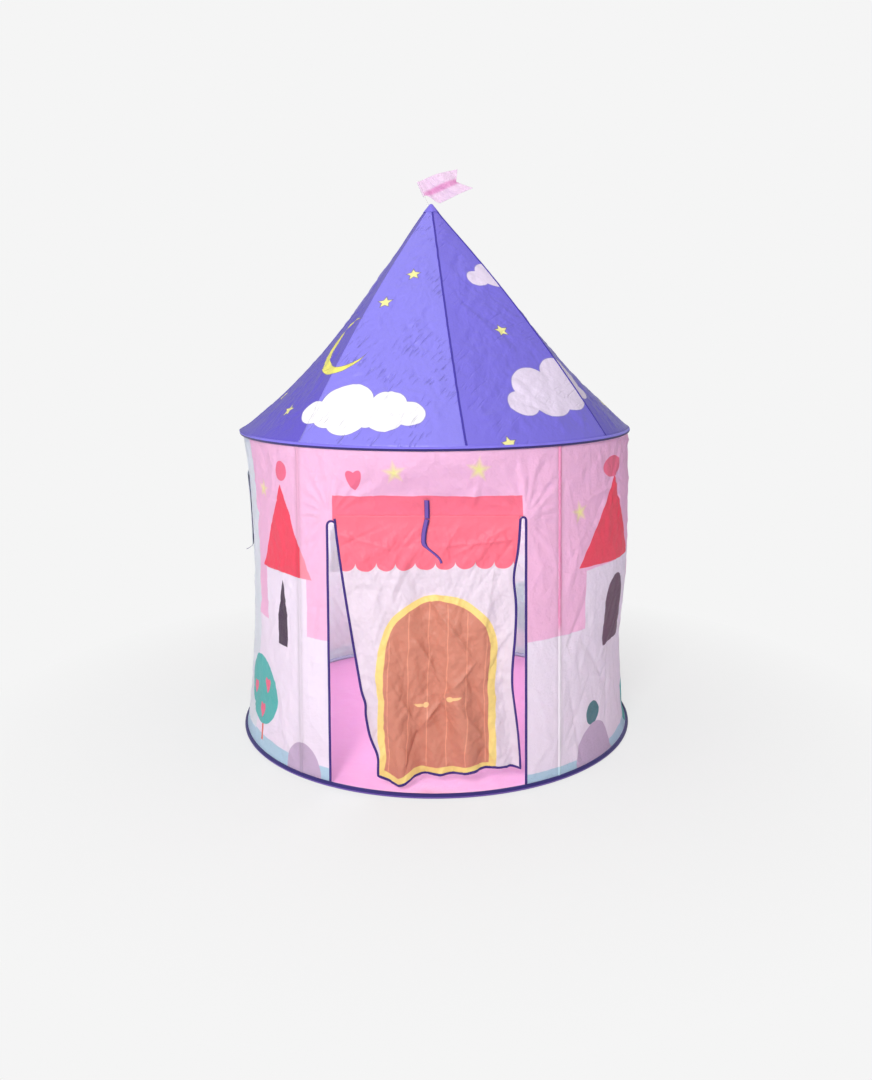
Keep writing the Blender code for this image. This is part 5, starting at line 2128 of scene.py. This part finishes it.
    def sleeve(self, number: int, material: Material) -> None:
        """Makes the cloth channel under one rod of the roof."""
        share = np.linspace(0.045, 0.90, 90)
        path, side, out = self.ridge(2 * (number - 1), share)
        out = np.where(out[:, 2:3] < 0, -out, out)
        centre = path - out * 0.0042
        angle = np.radians(np.linspace(-105.0, 105.0, 15))
        creases = Creases(170 + number)
        a, t = np.meshgrid(angle, share)
        slant = 0.77
        gather = creases.crumple(a * 0.003, t * slant, 0.014, 80.0)
        radius = self.channel + 0.0006 * np.clip(gather, -0.3, 1)
        points = centre[:, None, :] - out[:, None, :] * (radius * np.cos(a))[..., None]
        points = points + side[:, None, :] * (radius * np.sin(a))[..., None]
        flat = np.stack([a * self.channel, t * slant], -1)
        obj = Bench.grid(f"roof_channel_{number}", points, flat, thickness=THIN_CLOTH)
        self.place(obj, Body.TENT, Slot.ROOF, material, [f"roof_rod_sleeve_{number}"])


@dataclass(frozen=True)
class Peak(Assembly):
    """The cloth cap over the gores' points, and the flag on its leaning stick."""

    lean: float = 23.7
    pivot_drop: float = 0.0215
    hoist_start: float = 0.0465
    hoist: float = 0.040
    fly: float = 0.124

    def build(self) -> None:
        """Makes the cap and the flag."""
        self.cap()
        self.flag()

    def cap(self) -> None:
        """Makes the stitched cap."""
        s = self.shape
        wide = (0.0204, 0.0206, 0.0176, 0.0122, 0.0074, 0.0058, 0.0042, 0.0022)
        high = (-0.0002, 0.0006, 0.0042, 0.0112, 0.0170, 0.0193, 0.0212, 0.0223)
        low = s.apex - 0.0226
        angle = np.linspace(0.0, 360.0, 65)
        r, z = np.array(wide)[:, None], np.array(high)[:, None]
        ripple = 1.0 + 0.02 * np.sin(np.radians(angle) * 8.0)
        points = s.cylinder(angle + 0 * r, z + 0 * angle + low, r * ripple)
        points[:, -1] = points[:, 0]
        points[..., 0] += s.apex_shift
        uvs = np.stack(np.broadcast_arrays(np.radians(angle) * 0.02, z), -1)
        obj = Bench.grid("peak_cap", points, uvs, joined=True, thickness=THIN_CLOTH)
        finish = PrintedTaffeta("peak_cloth", self.palette.violet, light_through=0.0).build()
        self.place(obj, Body.TENT, Slot.ROOF, finish, ["apex_cap"])

    def flag(self) -> None:
        """Makes the swallow-tailed flag."""
        s = self.shape
        lean = math.radians(self.lean)
        pivot = np.array([s.apex_shift, 0.0, s.apex - self.pivot_drop])
        up = np.array([-math.sin(lean), 0.0, math.cos(lean)])
        out = np.array([math.cos(lean), 0.0, math.sin(lean)])
        i, v = np.meshgrid(np.linspace(0, 1, 110), np.linspace(0, 1, 61))
        u = i * (1.0 - 0.22 * (1.0 - np.abs(2.0 * v - 1.0)))
        low = self.hoist_start - 0.034 * ease(4.0 * u)
        high = self.hoist_start + self.hoist - 0.012 * u * u
        along = low + (high - low) * v
        reach = 0.0021 + self.fly * u * (1.0 - 0.14 * v)
        wave = 0.006 * np.sin(math.tau * (1.1 * u + 0.25 * v)) * ease(5.0 * u)
        creases = Creases(200)
        crease = creases.crumple(u * self.fly, v * self.hoist, 0.030, 40.0, 1.8)
        crease = 0.0030 * crease * ease(6 * u)
        points = pivot + up * along[..., None] + out * reach[..., None]
        points[..., 1] += wave + crease
        flat = np.stack([reach, along - self.hoist_start + 0.034], -1)
        obj = Bench.grid("pennant", points, flat, thickness=THIN_CLOTH)
        p = self.palette
        # The pink band is painted shade of a fold across the flag.
        band = Oval(0.055, 0.0345, p.flag_fold_shade, -1.5, 0.006, wide=0.070, high=0.008)
        finish = PrintedTaffeta("pennant_cloth", p.flag, (band,), light_through=0.4, creasing=0.5)
        self.place(obj, Body.FLAG, Slot.FLAG, finish.build(), ["flag"])
        start = self.hoist_start
        hem = pivot + up * np.linspace(start - 0.001, start + self.hoist, 30)[:, None]
        section = rounded_section(0.0056, 0.0052, 16, 2.0)
        side = same(out, hem)
        across = same((0.0, 1.0, 0.0), hem)
        tube = Bench.sweep("pennant_hem", hem, side, across, section)
        self.place(tube, Body.FLAG, Slot.FLAG, finish.build())


class Studio:
    """The camera, the lamps and the pale floor."""

    background: Colour = srgb(245, 245, 245)
    floor_colour: Colour = (0.80, 0.80, 0.80)
    eye: tuple[float, float, float] = (0.1015, -2.548, 1.0108)
    look: tuple[float, float, float] = (-0.0383, 0.9973, -0.0628)
    roll: float = 0.36
    lens: float = 32.0
    shift: float = -143.0 / 1080.0
    lamps: tuple[tuple[str, tuple[float, float, float], float, float], ...] = (
        ("key", (-0.95, -4.5, 3.1), 1.3, 178.0),
        ("left", (-3.4, -2.2, 1.6), 1.6, 16.0),
        ("top", (0.0, 0.4, 4.4), 2.6, 12.0),
        ("inside", (0.0, 0.12, 0.50), 0.25, 7.5),
    )
    sky_light: float = 0.38

    @staticmethod
    def camera() -> None:
        """Sets the camera up as it stood for the photograph."""
        data = bpy.data.cameras.new("camera")
        data.sensor_fit = "VERTICAL"
        data.sensor_height = 36.0
        data.lens = Studio.lens
        data.shift_y = Studio.shift
        data.clip_end = 100.0
        obj = bpy.data.objects.new("camera", data)
        bpy.context.scene.collection.objects.link(obj)
        look = Vector(Studio.look).normalized()
        right = look.cross(Vector((0, 0, 1))).normalized()
        up = right.cross(look)
        roll = math.radians(Studio.roll)
        x = right * math.cos(roll) - up * math.sin(roll)
        y = up * math.cos(roll) + right * math.sin(roll)
        turn = Matrix((x, y, -look)).transposed()
        obj.matrix_world = Matrix.Translation(Studio.eye) @ turn.to_4x4()
        bpy.context.scene.camera = obj

    @staticmethod
    def lamp(name: str, place: Sequence[float], size: float, power: float) -> None:
        """Adds a soft lamp that faces the tent, or the one in it, which shines every way.

        Args:
            name: the lamp's name.
            place: where it hangs.
            size: its width, or its radius in the tent.
            power: its power in watts.
        """
        inside = name == "inside"
        data = bpy.data.lights.new(name, "POINT" if inside else "AREA")
        data.energy = power
        if inside:
            data.shadow_soft_size = size
        else:
            data.shape = "DISK"
            data.size = size
        obj = bpy.data.objects.new(name, data)
        obj.visible_camera = not inside
        bpy.context.scene.collection.objects.link(obj)
        away = Vector((0.0, 0.0, 0.6)) - Vector(place)
        turn = away.to_track_quat("-Z", "Y").to_matrix().to_4x4()
        obj.matrix_world = Matrix.Translation(place) @ turn

    @staticmethod
    def floor() -> None:
        """Adds the pale floor, which passes into the background away from the tent."""
        Bench.pick()
        bpy.ops.mesh.primitive_plane_add(size=60.0, location=(0.0, 0.0, -0.0005))
        obj = bpy.context.active_object
        obj.name = "studio_floor"
        bpy.ops.object.transform_apply(location=True, rotation=True, scale=True)
        surface = Surface("studio_floor")
        surface.finish(
            Base_Color=(*Studio.floor_colour, 1.0), Roughness=1.0, Specular_IOR_Level=0.0
        )
        place = surface.node("ShaderNodeTexCoord", {}, {}).outputs["Object"]
        parts = surface.node("ShaderNodeSeparateXYZ", {}, {0: place})
        away = length(Field(surface, parts.outputs[0]), Field(surface, parts.outputs[1]))
        fade = (away - 0.60).math("MULTIPLY", 1.5, clamp=True)
        path = surface.node("ShaderNodeLightPath", {}, {})
        seen = Field(surface, path.outputs["Is Camera Ray"])
        shown = (fade * 0.25 + 0.75) * seen
        glow = surface.node("ShaderNodeEmission", {}, {0: (*Studio.background, 1.0), 1: 1.0})
        surface.blend(shown, glow)
        obj.data.materials.append(surface.material)

    @staticmethod
    def world() -> None:
        """Lights the scene evenly, with a pale background behind the tent."""
        world = bpy.data.worlds.new("studio")
        bpy.context.scene.world = world
        world.use_nodes = True
        tree = world.node_tree
        tree.nodes.clear()
        kinds = ("LightPath", "Background", "Background", "MixShader", "OutputWorld")
        path, seen, lit, both, out = (tree.nodes.new(f"ShaderNode{kind}") for kind in kinds)
        seen.inputs[0].default_value = (*Studio.background, 1.0)
        lit.inputs[0].default_value = (1.0, 1.0, 1.0, 1.0)
        lit.inputs[1].default_value = Studio.sky_light
        tree.links.new(path.outputs["Is Camera Ray"], both.inputs[0])
        tree.links.new(lit.outputs[0], both.inputs[1])
        tree.links.new(seen.outputs[0], both.inputs[2])
        tree.links.new(both.outputs[0], out.inputs[0])

    @staticmethod
    def build() -> None:
        """Makes the whole studio."""
        Studio.camera()
        Studio.world()
        Studio.floor()
        for lamp in Studio.lamps:
            Studio.lamp(*lamp)
        bpy.context.scene.view_settings.view_transform = "Standard"


def main() -> None:
    """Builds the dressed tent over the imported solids."""
    logging.basicConfig(level=logging.INFO, format="%(message)s")
    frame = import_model()
    Studio.build()
    shape, palette = TentShape(), Palette()
    for assembly in (Hoops, Walls, WallRods, Doorway, DoorFlap, SideWindow, Roof, Peak):
        assembly(shape, palette).build()
    rod = Smooth("fibreglass_rod", palette.rod, 0.38, coat=0.2).build()
    steel = Smooth("hoop_wire", palette.steel, 0.32, metal=1.0).build()
    plastic = Smooth("hub_plastic", palette.rod, 0.4, grain=(90.0, 90.0, 90.0)).build()
    rods = [f"wall_pole_{k}" for k in range(1, 6)] + [f"roof_rod_{k}" for k in range(1, 5)]
    Assembly.dress(frame, [*rods, "flag_stick"], rod)
    Assembly.dress(frame, ["bottom_hoop", "top_hoop"], steel)
    Assembly.dress(frame, ["apex_hub"], plastic)


if __name__ == "__main__":
    main()
